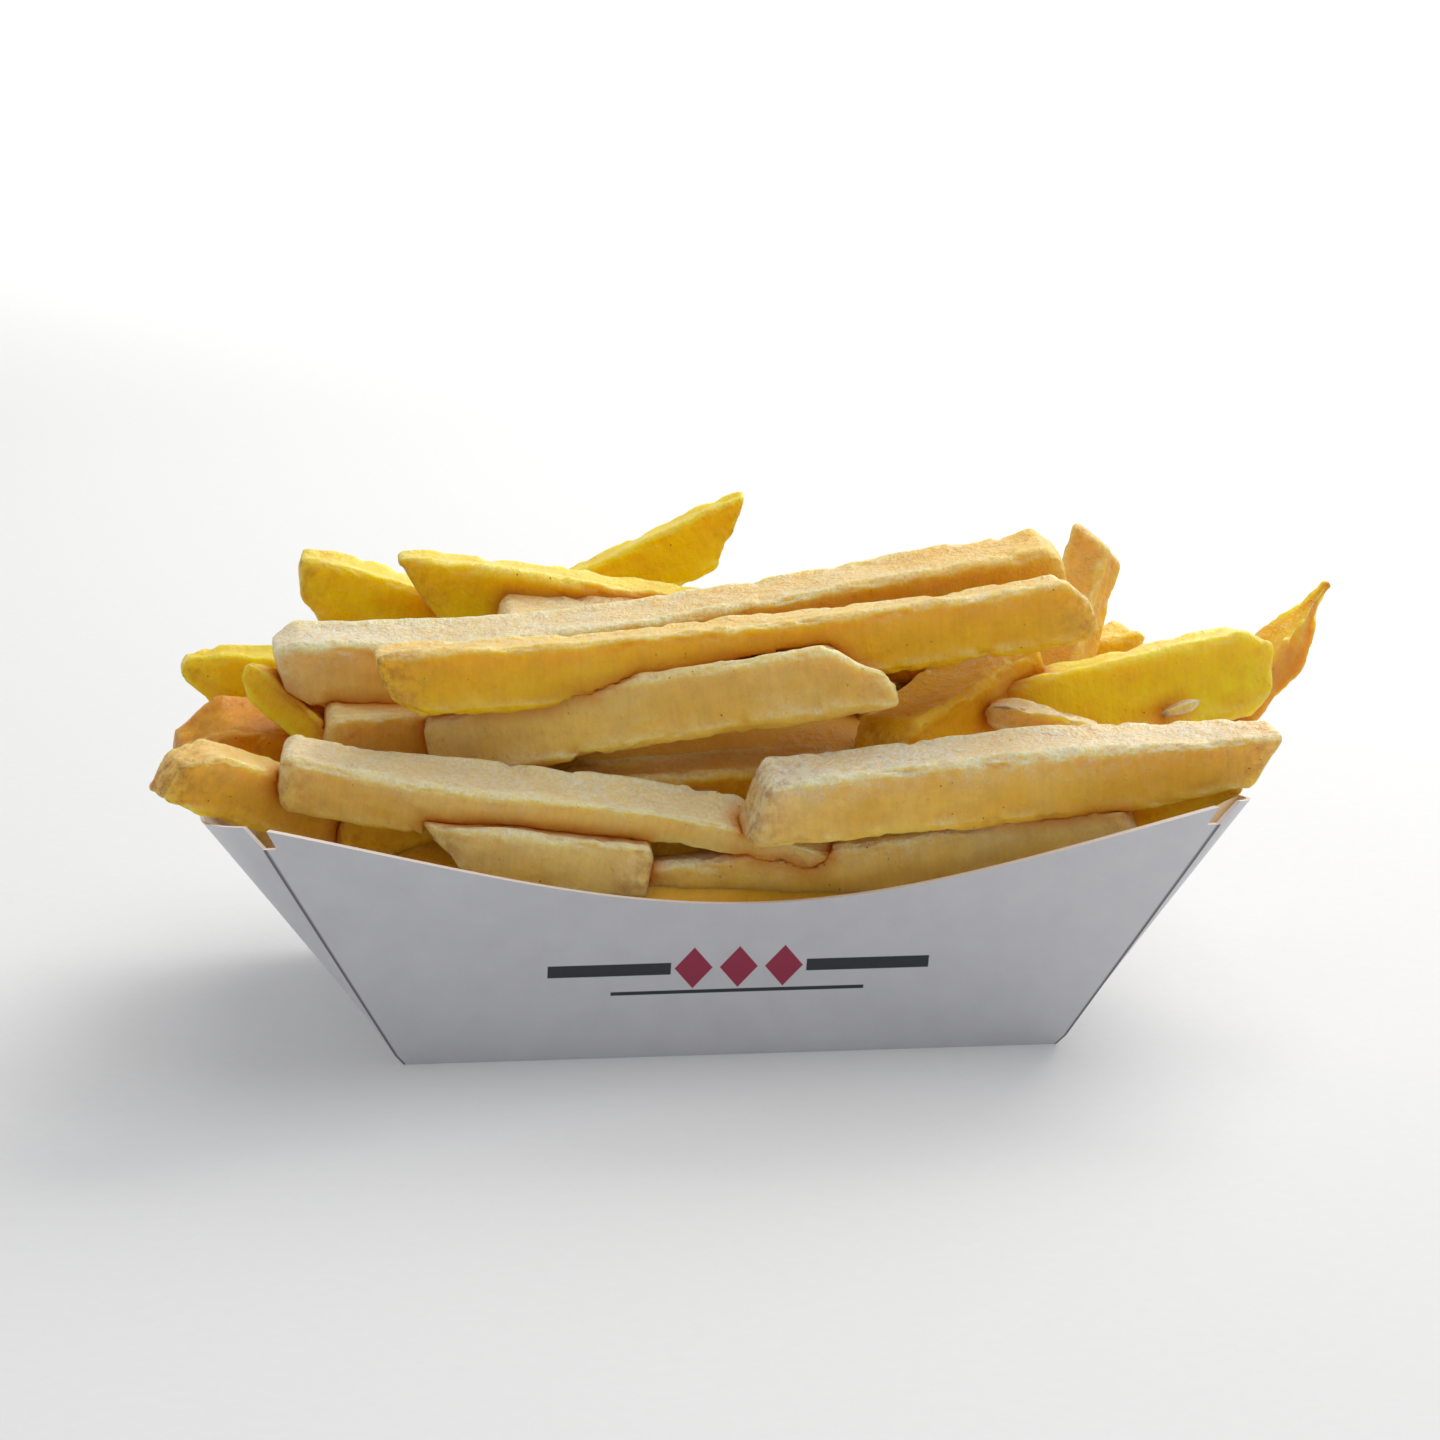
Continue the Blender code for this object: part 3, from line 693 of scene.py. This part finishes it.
def unevenness(place, shape):
    # the potato's own bumps at a place, in millimetres
    total = 0.0
    for size, height in shape["waves"]:
        total += height * noise.noise(Vector(place) / size)
    return total


def pressAgainst(points, centres, lying, gap):
    # where a fry would run into one already placed, its side is pressed in until the two just touch
    low, high = points.min(0), points.max(0)
    for otherLow, otherHigh, tree in lying:
        if (low > otherHigh).any() or (high < otherLow).any():
            continue
        close = ((points > otherLow - gap) & (points < otherHigh + gap)).all(axis=1)
        for i in np.nonzero(close)[0]:
            line = points[i] - centres[i]
            reach = float(np.linalg.norm(line))
            way = Vector(line / reach)
            hit, facing, _, distance = tree.ray_cast(Vector(centres[i]), way, reach + gap)
            if hit is not None and facing.dot(way) < 0:
                points[i] = centres[i] + line / reach * max(0.2, distance - gap)


def fryMesh(item, shape, seed, lying):
    # the fry's points, faces and the values that its material reads
    _, length, axis, top, near = fryFrame(item)
    outline, wayOut, cornered = squaredSection(shape)
    around = len(outline)
    rim = min(shape["rimRadius"], 0.3 * min(item["wide"], item["tall"]))
    stations = fryStations(item, length, shape["stepAlong"], rim)
    shift = np.array((seed * 37.1 % 211, seed * 17.3 % 173, seed * 71.7 % 197))
    half = (item["wide"] + item["tall"]) / 4
    chipSize, chipDepth = shape["chip"]
    points, centres, grain, edge, ends, tones, highs, crustAndSheenRows = [], [], [], [], [], [], [], []
    zero = np.zeros(1)
    toneStart, toneEnd, toast, crustAndSheenStart = item["cook"][:4]
    crustAndSheenEnd = item["cook"][-1]
    stretch = np.array((1 / shape["stretch"], 1.0, 1.0))
    for at in stations:
        gone = min(at, length - at)
        pulled = rim - math.sqrt(max(0.0, rim * rim - max(0.0, rim - gone) ** 2))
        size = 1 - pulled / half
        torn = item["first"]["torn"] if at < length / 2 else item["last"]["torn"]
        ragged = 1 + 1.6 * torn * math.exp(-gone / 5.0)
        ring, sideways, upward, local = fryRing(item, at, outline[:, 0] * size, outline[:, 1] * size)
        out = wayOut[:, :1] * sideways + wayOut[:, 1:] * upward
        bumps = ragged * np.array([unevenness(p, shape) for p in (local + shift) * stretch])
        sunk = shape["sink"] * (1 - cornered) * min(1.0, gone / 3.0)
        chips = np.array([
            max(0.0, noise.noise(Vector(p) / chipSize) + 0.6 * noise.noise(Vector(p) / chipSize * 2.7))
            for p in (local + 2 * shift) * stretch])
        points.append(ring + out * (bumps - sunk - chipDepth * chips * cornered)[:, None])
        centres.append(np.tile(fryRing(item, min(max(at, half), length - half), zero, zero)[0], (around, 1)))
        grain.append(local + shift)
        edge.append(np.maximum(cornered, math.exp(-gone / 0.7)))
        ends.append(np.full(around, math.exp(-gone / 3.5)))
        tones.append(np.full(around, toneStart + (toneEnd - toneStart) * at / length))
        highs.append(outline[:, 1])
        crustAndSheenRows.append(np.full(around, crustAndSheenStart + (crustAndSheenEnd - crustAndSheenStart) * at / length))
    rows = len(stations)
    faces = []
    for row in range(rows - 1):
        for i in range(around):
            j = (i + 1) % around
            a, b = row * around + i, row * around + j
            faces.append((a, b, b + around, a + around))
    # the two cut faces close in rings towards their middles
    base = rows * around
    for end, at, first, way in ((item["first"], 0.0, 0, -1), (item["last"], length, (rows - 1) * around, 1)):
        size = 1 - rim / half
        before = first
        for share in shape["capRings"] + (0.0,):
            count = around if share else 1
            lines = outline * size * share if share else np.zeros((1, 2))
            ring, _, _, local = fryRing(item, at, lines[:, 0], lines[:, 1])
            rough = [noise.noise(Vector(p) / 2.6) + 0.5 * noise.noise(Vector(p) / 1.1) for p in local + shift]
            raised = 0.3 * (1 - share * share) + end["torn"] * np.array(rough) * min(1.0, 2.5 * (1 - share))
            points.append(ring + axis * way * raised[:, None])
            grain.append(local + shift)
            edge.append(np.full(count, math.exp(-(1 - share) * half / 0.8)))
            ends.append(np.ones(count))
            tones.append(np.full(count, toneEnd if at else toneStart))
            highs.append(lines[:, 1])
            crustAndSheenRows.append(np.full(count, crustAndSheenEnd if at else crustAndSheenStart))
            centres.append(np.tile(fryRing(item, min(max(at, half), length - half), zero, zero)[0], (count, 1)))
            for i in range(around):
                j = (i + 1) % around
                if share:
                    face = (before + i, base + i, base + j, before + j)
                else:
                    face = (before + i, base, before + j)
                faces.append(face if way < 0 else face[::-1])
            before = base
            base += count
    if np.cross(near, top) @ axis < 0:
        faces = [face[::-1] for face in faces]
    points = np.concatenate(points)
    pressAgainst(points, np.concatenate(centres), lying, shape["gap"])
    values = {
        "grain": np.concatenate(grain),
        "edge": np.concatenate(edge),
        "tipness": np.concatenate(ends),
        "tone": np.concatenate(tones),
        "high": np.concatenate(highs),
        "toast": np.full(len(points), toast),
        "frost": np.concatenate(crustAndSheenRows),
    }
    lying.append((points.min(0), points.max(0), BVHTree.FromPolygons(points.tolist(), faces)))
    return points, faces, values


def markContacts(fries, lying, reach):
    # how near each point is to another fry: 1 where they touch, 0 from the reach on
    for number, (points, _, values) in enumerate(fries):
        apart = np.full(len(points), reach)
        for other, (low, high, tree) in enumerate(lying):
            close = ((points > low - reach) & (points < high + reach)).all(axis=1)
            for i in np.nonzero(close)[0] if other != number else ():
                found = tree.find_nearest(points[i], reach)
                if found[0] is not None:
                    apart[i] = min(apart[i], found[3])
        values["contact"] = 1 - apart / reach


def joinFries(name, fries, material):
    points, faces, values = [], [], {}
    total = 0
    for some, sides, stored in fries:
        points.append(some)
        faces += [tuple(i + total for i in face) for face in sides]
        for key, array in stored.items():
            values.setdefault(key, []).append(array)
        total += len(some)
    values = {key: np.concatenate(arrays) for key, arrays in values.items()}
    piece = meshPiece(name, np.concatenate(points), faces, [material], None, values)
    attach(piece, "root")
    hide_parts("fries")
    print(name, len(piece.data.polygons), "faces")
    return piece


def friedPotato(look):
    # potato fried in oil: a thin dry skin over a translucent inside, golden where it is thin, brown at edges and tips
    material, tree = newMaterial("fried potato")
    grain = addNode(tree, "Attribute", {"attribute_name": "grain"}).outputs["Vector"]
    edge = addNode(tree, "Attribute", {"attribute_name": "edge"}).outputs["Fac"]
    tipness = addNode(tree, "Attribute", {"attribute_name": "tipness"}).outputs["Fac"]
    tone = addNode(tree, "Attribute", {"attribute_name": "tone"}).outputs["Fac"]
    toast = addNode(tree, "Attribute", {"attribute_name": "toast"}).outputs["Fac"]
    frost = addNode(tree, "Attribute", {"attribute_name": "frost"}).outputs["Fac"]
    high = addNode(tree, "Attribute", {"attribute_name": "high"}).outputs["Fac"]
    contact = addNode(tree, "Attribute", {"attribute_name": "contact"}).outputs["Fac"]

    # grain is in millimetres, so one over a size is a pattern's scale
    patch = addNode(tree, "TexNoise", {}, {
        "Vector": grain, "Scale": 1 / look["patch"], "Detail": 3.0, "Roughness": 0.55}).outputs[0]
    mottle = addNode(tree, "TexNoise", {}, {
        "Vector": grain, "Scale": 1 / look["mottle"], "Detail": 4.0, "Roughness": 0.6}).outputs[0]
    fine = addNode(tree, "TexNoise", {}, {
        "Vector": grain, "Scale": 1 / look["grain"], "Detail": 3.0, "Roughness": 0.65}).outputs[0]
    cloudy = addNode(tree, "TexNoise", {}, {
        "Vector": grain, "Scale": 1 / look["cloud"], "Detail": 2.0, "Roughness": 0.5}).outputs[0]

    # body colour: from pale to golden by how long it fried, in patches; painted more golden on the underside, as
    # painted shade
    uneven = addNode(tree, "MapRange", {}, {
        "Value": patch, "From Min": 0.3, "From Max": 0.7, "To Min": -0.07, "To Max": 0.05}).outputs[0]
    uneven = addNode(tree, "Math", {"operation": "MULTIPLY_ADD"}, {
        0: high, 1: -look["paintedUndersideShade"], 2: uneven}).outputs[0]
    fried = addNode(tree, "Math", {"operation": "ADD", "use_clamp": True}, {0: tone, 1: uneven}).outputs[0]
    body = addNode(tree, "ValToRGB", {"stops": (
        (0.0, look["pale"]), (0.32, look["golden"]), (0.56, look["amber"]),
        (0.8, look["lemon"]), (1.0, look["deep"]))}, {
        "Fac": fried}).outputs[0]
    value = addNode(tree, "MapRange", {}, {
        "Value": cloudy, "From Min": 0.3, "From Max": 0.7, "To Min": 0.93, "To Max": 1.03}).outputs[0]
    # the cells of the potato show as faint streaks across its sides
    drawn = addNode(tree, "VectorMath", {"operation": "MULTIPLY"}, {0: grain, 1: (1.0, 1.0, 0.2)}).outputs[0]
    streaks = addNode(tree, "TexNoise", {}, {
        "Vector": drawn, "Scale": 1 / look["streak"], "Detail": 2.0, "Roughness": 0.6}).outputs[0]
    streaky = addNode(tree, "MapRange", {}, {
        "Value": streaks, "From Min": 0.3, "From Max": 0.7, "To Min": 0.95, "To Max": 1.03}).outputs[0]
    value = addNode(tree, "Math", {"operation": "MULTIPLY"}, {0: value, 1: streaky}).outputs[0]
    body = addNode(tree, "HueSaturation", {}, {"Color": body, "Value": value}).outputs[0]

    # the dry crust scatters white in fine spots; on faces that turn up and on the fries' upper halves it is painted
    # whiter still, a painted highlight for the sheen of the light from above
    normal = addNode(tree, "NewGeometry").outputs["Normal"]
    upright = addNode(tree, "SeparateXYZ", {}, {0: normal}).outputs[2]
    onTop = addNode(tree, "MapRange", {"interpolation_type": "SMOOTHSTEP"}, {
        "Value": upright, "From Min": 0.1, "From Max": 0.8}).outputs[0]
    spots = addNode(tree, "MapRange", {"interpolation_type": "SMOOTHSTEP"}, {
        "Value": mottle, "From Min": 0.36, "From Max": 0.66}).outputs[0]
    fineSpots = addNode(tree, "MapRange", {"interpolation_type": "SMOOTHSTEP"}, {
        "Value": fine, "From Min": 0.38, "From Max": 0.62, "To Min": 0.35, "To Max": 1.0}).outputs[0]
    onEnd = addNode(tree, "Math", {"operation": "MULTIPLY"}, {0: tipness, 1: look["frostedEnd"]}).outputs[0]
    onUpper = addNode(tree, "MapRange", {"interpolation_type": "SMOOTHSTEP"}, {
        "Value": high, "From Min": -0.1, "From Max": 1.0, "To Max": 0.75}).outputs[0]
    onUpper = addNode(tree, "Math", {"operation": "MULTIPLY"}, {0: onUpper, 1: spots}).outputs[0]
    onUpper = addNode(tree, "Math", {"operation": "MULTIPLY"}, {0: onUpper, 1: frost}).outputs[0]
    outward = addNode(tree, "Math", {"operation": "MAXIMUM"}, {0: onTop, 1: onEnd}).outputs[0]
    outward = addNode(tree, "Math", {"operation": "MAXIMUM"}, {0: outward, 1: onUpper}).outputs[0]
    crustAndSheenShare = addNode(tree, "Math", {"operation": "MULTIPLY"}, {0: outward, 1: frost}).outputs[0]
    thick = addNode(tree, "MapRange", {"interpolation_type": "SMOOTHSTEP"}, {
        "Value": patch, "From Min": 0.35, "From Max": 0.6, "To Min": 1.0, "To Max": 0.7}).outputs[0]
    crustAndSheenShare = addNode(tree, "Math", {"operation": "MULTIPLY"}, {0: crustAndSheenShare, 1: thick}).outputs[0]
    crustAndSheenShare = addNode(tree, "Math", {"operation": "MULTIPLY"}, {0: crustAndSheenShare, 1: fineSpots}).outputs[0]
    colour = addNode(tree, "Mix", {"data_type": "RGBA"}, {
        0: crustAndSheenShare, 6: body, 7: hexColour(look["frost"])}).outputs[2]
    entering = addNode(tree, "Math", {"operation": "MULTIPLY_ADD"}, {
        0: crustAndSheenShare, 1: -look["crustStops"], 2: look["through"]}).outputs[0]
    # little light gets in where two fries touch; the orange of the light bouncing between them is painted on further
    # down, as painted shade and bounce light
    touching = addNode(tree, "Math", {"operation": "POWER"}, {0: contact, 1: 3.0}).outputs[0]
    shaded = addNode(tree, "Math", {"operation": "MULTIPLY_ADD"}, {
        0: touching, 1: -look["contactStops"], 2: 1.0}).outputs[0]
    entering = addNode(tree, "Math", {"operation": "MULTIPLY"}, {0: entering, 1: shaded}).outputs[0]

    # edges that face up are painted pale: partly their pale dry rim, mostly a painted highlight
    upturned = addNode(tree, "MapRange", {"interpolation_type": "SMOOTHSTEP"}, {
        "Value": upright, "From Min": -0.2, "From Max": 0.5, "To Max": look["paintedEdgeHighlightShare"]}).outputs[0]
    paintedEdgeHighlight = addNode(tree, "Math", {"operation": "POWER"}, {0: edge, 1: 1.5}).outputs[0]
    paintedEdgeHighlight = addNode(tree, "Math", {"operation": "MULTIPLY"}, {0: paintedEdgeHighlight, 1: upturned}).outputs[0]
    paintedEdgeHighlight = addNode(tree, "Math", {"operation": "MULTIPLY"}, {0: paintedEdgeHighlight, 1: fineSpots}).outputs[0]
    edgeHighlightCrustShare = addNode(tree, "MapRange", {}, {"Value": frost, "To Min": 0.12, "To Max": 1.0}).outputs[0]
    paintedEdgeHighlight = addNode(tree, "Math", {"operation": "MULTIPLY"}, {0: paintedEdgeHighlight, 1: edgeHighlightCrustShare}).outputs[0]
    colour = addNode(tree, "Mix", {"data_type": "RGBA"}, {
        0: paintedEdgeHighlight, 6: colour, 7: hexColour(look["paintedEdgeHighlight"])}).outputs[2]

    # toasted edges and tips
    patchy = addNode(tree, "MapRange", {"interpolation_type": "SMOOTHSTEP"}, {
        "Value": patch, "From Min": 0.42, "From Max": 0.68}).outputs[0]
    atEdge = addNode(tree, "Math", {"operation": "POWER"}, {0: edge, 1: 2.0}).outputs[0]
    atEdge = addNode(tree, "Math", {"operation": "MULTIPLY"}, {0: atEdge, 1: patchy}).outputs[0]
    atEdge = addNode(tree, "Math", {"operation": "MULTIPLY"}, {0: atEdge, 1: look["toastedEdge"]}).outputs[0]
    spotty = addNode(tree, "MapRange", {"interpolation_type": "SMOOTHSTEP"}, {
        "Value": mottle, "From Min": 0.35, "From Max": 0.75}).outputs[0]
    atTip = addNode(tree, "Math", {"operation": "MULTIPLY"}, {0: tipness, 1: spotty}).outputs[0]
    atRim = addNode(tree, "Math", {"operation": "MULTIPLY"}, {0: edge, 1: tipness}).outputs[0]
    atRim = addNode(tree, "Math", {"operation": "MULTIPLY"}, {0: atRim, 1: spots}).outputs[0]
    browned = addNode(tree, "Math", {"operation": "MAXIMUM"}, {0: atEdge, 1: atTip}).outputs[0]
    browned = addNode(tree, "Math", {"operation": "MAXIMUM"}, {0: browned, 1: atRim}).outputs[0]
    browned = addNode(tree, "Math", {"operation": "MULTIPLY"}, {0: browned, 1: toast}).outputs[0]
    colour = addNode(tree, "Mix", {"data_type": "RGBA"}, {
        0: browned, 6: colour, 7: hexColour(look["toasted"])}).outputs[2]

    # painted shade and bounce light: a fry is painted orange where it lies close to another
    between = addNode(tree, "Math", {"operation": "POWER"}, {0: contact, 1: 1.6}).outputs[0]
    colour = addNode(tree, "Mix", {"data_type": "RGBA"}, {
        0: between, 6: colour, 7: hexColour(look["between"])}).outputs[2]

    # dark specks, here and there
    cells = addNode(tree, "TexVoronoi", {}, {"Vector": grain, "Scale": 1 / look["speckSpacing"]})
    small = addNode(tree, "MapRange", {}, {
        "Value": cells.outputs["Distance"], "From Min": 0.06, "From Max": 0.11, "To Min": 1.0, "To Max": 0.0})
    draw = addNode(tree, "SeparateColor", {}, {0: cells.outputs["Color"]}).outputs[0]
    chosen = addNode(tree, "Math", {"operation": "GREATER_THAN"}, {0: draw, 1: 0.45}).outputs[0]
    specks = addNode(tree, "Math", {"operation": "MULTIPLY"}, {0: small.outputs[0], 1: chosen}).outputs[0]
    specks = addNode(tree, "Math", {"operation": "MULTIPLY"}, {0: specks, 1: patchy}).outputs[0]
    colour = addNode(tree, "Mix", {"data_type": "RGBA"}, {
        0: specks, 6: colour, 7: hexColour(look["speck"])}).outputs[2]

    # relief finer than the mesh: blisters on the crust and a fine grain
    bubbles = addNode(tree, "TexVoronoi", {"feature": "SMOOTH_F1"}, {
        "Vector": grain, "Scale": 1 / look["blister"], "Smoothness": 0.6})
    swollen = addNode(tree, "MapRange", {}, {
        "Value": bubbles.outputs["Distance"], "From Min": 0.0, "From Max": 0.7, "To Min": 1.0, "To Max": 0.0})
    blisters = addNode(tree, "Math", {"operation": "MULTIPLY"}, {0: swollen.outputs[0], 1: spots}).outputs[0]
    # sides that stayed clear of the air are smoother than tops and cut ends
    dry = addNode(tree, "Math", {"operation": "MAXIMUM"}, {0: crustAndSheenShare, 1: tipness}).outputs[0]
    dry = addNode(tree, "MapRange", {}, {"Value": dry, "To Min": look["smoothSides"], "To Max": 1.0}).outputs[0]
    blisters = addNode(tree, "Math", {"operation": "MULTIPLY"}, {0: blisters, 1: dry}).outputs[0]
    grainy = addNode(tree, "Math", {"operation": "MULTIPLY"}, {0: fine, 1: dry}).outputs[0]
    rise = addNode(tree, "Bump", {}, {"Height": blisters, "Strength": 0.9, "Distance": 0.5 * mm})
    bump = addNode(tree, "Bump", {}, {
        "Height": grainy, "Strength": 1.0, "Distance": 0.5 * mm, "Normal": rise.outputs[0]})
    rough = addNode(tree, "MapRange", {}, {
        "Value": mottle, "To Min": look["roughness"] - 0.12, "To Max": look["roughness"] + 0.16})
    shader = addNode(tree, "BsdfPrincipled", {"subsurface_method": "RANDOM_WALK"}, {
        "Base Color": colour, "Roughness": rough.outputs[0], "IOR": look["ior"], "Normal": bump.outputs[0],
        "Subsurface Weight": entering, "Subsurface Radius": look["scatterTint"],
        "Subsurface Scale": look["scatter"] * mm, "Subsurface Anisotropy": 0.3})
    addNode(tree, "OutputMaterial", {}, {"Surface": shader.outputs[0]})
    return material


# The fries that the shown ones hide: each comes to lie in the lowest room that it finds in the heap

hiddenShape = {
    "rows": (-16.0, -6.0, 4.0, 14.0, 24.0, 33.0, 42.0),
    "columns": (-42.0, 42.0, 0.0, -20.0, 22.0),
    "layers": 4,
    "tries": 16,
    "press": 2.6,
    "seed": 11,
}


def nearest(start, end, starts, ends):
    # the distance from the segment start-end to each of the segments starts-ends
    u, v, w = end - start, ends - starts, start - starts
    a, b, c = u @ u, v @ u, np.einsum("ij,ij->i", v, v)
    d, e = w @ u, np.einsum("ij,ij->i", v, w)
    s = np.clip((b * e - c * d) / np.maximum(a * c - b * b, 1e-9), 0, 1)
    t = np.clip((b * s + e) / c, 0, 1)
    s = np.clip((b * t - d) / a, 0, 1)
    return np.linalg.norm(w + s[:, None] * u - t[:, None] * v, axis=1)


def coreTop(x, y):
    return 44.0 - 20.0 * np.minimum(np.hypot(x / 66.0, (y + 4.0) / 46.0), 1.0) ** 1.6


def heapTop(x, y):
    # the highest that a hidden fry may reach
    dome = 63.0 - 15.0 * np.hypot(x / 100.0, (y - 4.0) / 54.0) ** 2
    return dome - 1.2 * np.maximum(6.0 - y, 0.0)


def clearOfWalls(line, radius, heading):
    x, y, z = line.T
    low = z - radius - 1.0
    longHalf, deepHalf = halfSizes(np.maximum(low, 0.0))
    longRoom = longHalf - radius * abs(math.sin(heading)) - 1.5
    deepRoom = deepHalf - radius * math.cos(heading) - 1.5
    inside = (np.abs(x) < longRoom) & (np.abs(y) < deepRoom)
    over = (low > trayShape["height"] + 0.5) & (np.abs(x) < 80) & (np.abs(y) < 56)
    return bool((inside | over).all())


def lowestRoom(draw, x, y, starts, ends, radii, press):
    # a drawn fry near a place, at the lowest free height there, or None
    x, y = x + draw.uniform(-10, 10), y + draw.uniform(-4, 4)
    heading, slope = math.radians(draw.gauss(0, 13)), math.radians(draw.gauss(0, 7))
    longest = max(36.0, min(82.0, 124.0 - 2 * abs(x)))
    length, thick = draw.uniform(0.6 * longest, longest), draw.uniform(8.8, 10.6)
    half = np.array((math.cos(heading), math.sin(heading), math.tan(slope))) * length / 2
    radius = thick / 2
    along = np.linspace(-1, 1, 9)[:, None] * half
    for z in np.arange(24.0, 62.0, 0.9):
        line = np.array((x, y, z)) + along
        if (line[:, 2] + radius > heapTop(line[:, 0], line[:, 1])).any():
            return None
        if (line[:, 2] - radius < coreTop(line[:, 0], line[:, 1]) - 5).any():
            continue
        if not clearOfWalls(line, radius, heading):
            continue
        if (nearest(line[0], line[-1], starts, ends) > radii + radius - press).all():
            return line[0], line[-1], thick
    return None


def hiddenFries(shown, shape):
    draw = random.Random(shape["seed"])
    cooking = random.Random(shape["seed"] + 1)
    placed = list(shown)
    hidden = []
    places = [(x, y) for _ in range(shape["layers"]) for y in shape["rows"] for x in shape["columns"]]
    for x, y in places:
        starts = np.array([f["start"] for f in placed], float)
        ends = np.array([f["end"] for f in placed], float)
        radii = np.array([(f["wide"] + f["tall"]) / 4 for f in placed])
        found = [lowestRoom(draw, x, y, starts, ends, radii, shape["press"]) for _ in range(shape["tries"])]
        found = [f for f in found if f]
        if not found:
            continue
        start, end, thick = min(found, key=lambda f: f[0][2] + f[1][2])
        roll = draw.uniform(-20, 20)
        tone = cooking.uniform(0.25, 0.8)
        cook = (tone, tone + cooking.uniform(-0.15, 0.15), cooking.uniform(0.2, 0.6), cooking.uniform(0.2, 0.9))
        item = fry("hidden", tuple(start), tuple(end), thick, thick, roll, cook=cook)
        placed.append(item)
        hidden.append(item)
    return hidden


# Core: what the tray holds below the fries that show

coreShape = {
    "gap": 0.6,
    "shoulder": 25.0,
    "around": 160,
    "dome": ((30.0, 0.85, -1.0), (35.0, 0.69, -2.0), (40.0, 0.51, -4.0), (44.0, 0.28, -5.0)),
    "finer": 4,
}


def buildCore(shape, material):
    inset = 2 * trayShape["board"] + shape["gap"]
    low = trayShape["board"] + shape["gap"]
    coarse = [(low, 1.0, 0.0), (shape["shoulder"] / 2, 1.0, 0.0), (shape["shoulder"], 1.0, 0.0)]
    coarse += list(shape["dome"])
    levels = []
    for first, second in zip(coarse, coarse[1:]):
        for i in range(shape["finer"]):
            t = i / shape["finer"]
            levels.append(tuple(a + (b - a) * t for a, b in zip(first, second)))
    levels.append(coarse[-1])
    around = shape["around"]
    points = []
    for z, share, shift in levels:
        for i in range(around):
            wall, part = divmod(4 * i / around, 1)
            x, y, _ = wallPoint(int(wall), part, min(z, shape["shoulder"]), inset)
            place = Vector((x * share / 9.0, y * share / 4.0, z / 4.0))
            bump = 0.5 * noise.noise(place) * (0.0 if z < shape["shoulder"] else 1.0)
            points.append((x * share, y * share + shift, z + bump))
    faces = [tuple(reversed(range(around))), tuple(range(len(points) - around, len(points)))]
    for row in range(len(levels) - 1):
        for i in range(around):
            j = (i + 1) % around
            a, b = row * around + i, row * around + j
            faces.append((a, b, b + around, a + around))
    count = len(points)
    # the core is painted with half the orange gap shade all over, so it reads as fries in shade
    values = {
        "grain": np.array(points), "edge": np.zeros(count), "tipness": np.zeros(count),
        "tone": np.full(count, 0.6), "toast": np.full(count, 0.2), "frost": np.full(count, 0.1),
        "high": np.zeros(count), "contact": np.full(count, 0.5)}
    core = meshPiece("potatoCore", points, faces, [material], None, values)
    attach(core, "root")
    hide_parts("fries")
    return core


addCamera(cameraLook)
addLights(lightLook)
addFloor(floorLook)
bpy.context.scene.view_settings.view_transform = "Standard"
print("stage ready")

buildTray([
    coatedBoard(boardLook, printLook),
    plainBoard("uncoated paperboard", boardLook["inside"], 0.75),
    plainBoard("cut edge of paperboard", boardLook["cutEdge"], 0.8),
])
print("tray built")

potato = friedPotato(friedPotatoLook)
shownFries = [item for row in heapRows.values() for item in row]
lyingFries = []
madeFries = {}
for rowNumber, (rowName, rowItems) in enumerate(heapRows.items()):
    madeFries[rowName] = [
        fryMesh(item, fryShape, 100 * rowNumber + 1 + i, lyingFries) for i, item in enumerate(rowItems)]
print("fries shaped")
coarser = {**fryShape, "stepAlong": 1.2, "flatSteps": 6, "cornerSteps": 4}
madeFries["friesHidden"] = [
    fryMesh(item, coarser, 901 + i, lyingFries) for i, item in enumerate(hiddenFries(shownFries, hiddenShape))]
print("hidden fries shaped")
markContacts([made for row in madeFries.values() for made in row], lyingFries, fryShape["near"])
print("contacts marked")
for rowName, rowMade in madeFries.items():
    joinFries(rowName, rowMade, potato)
buildCore(coreShape, potato)
print("heap built")
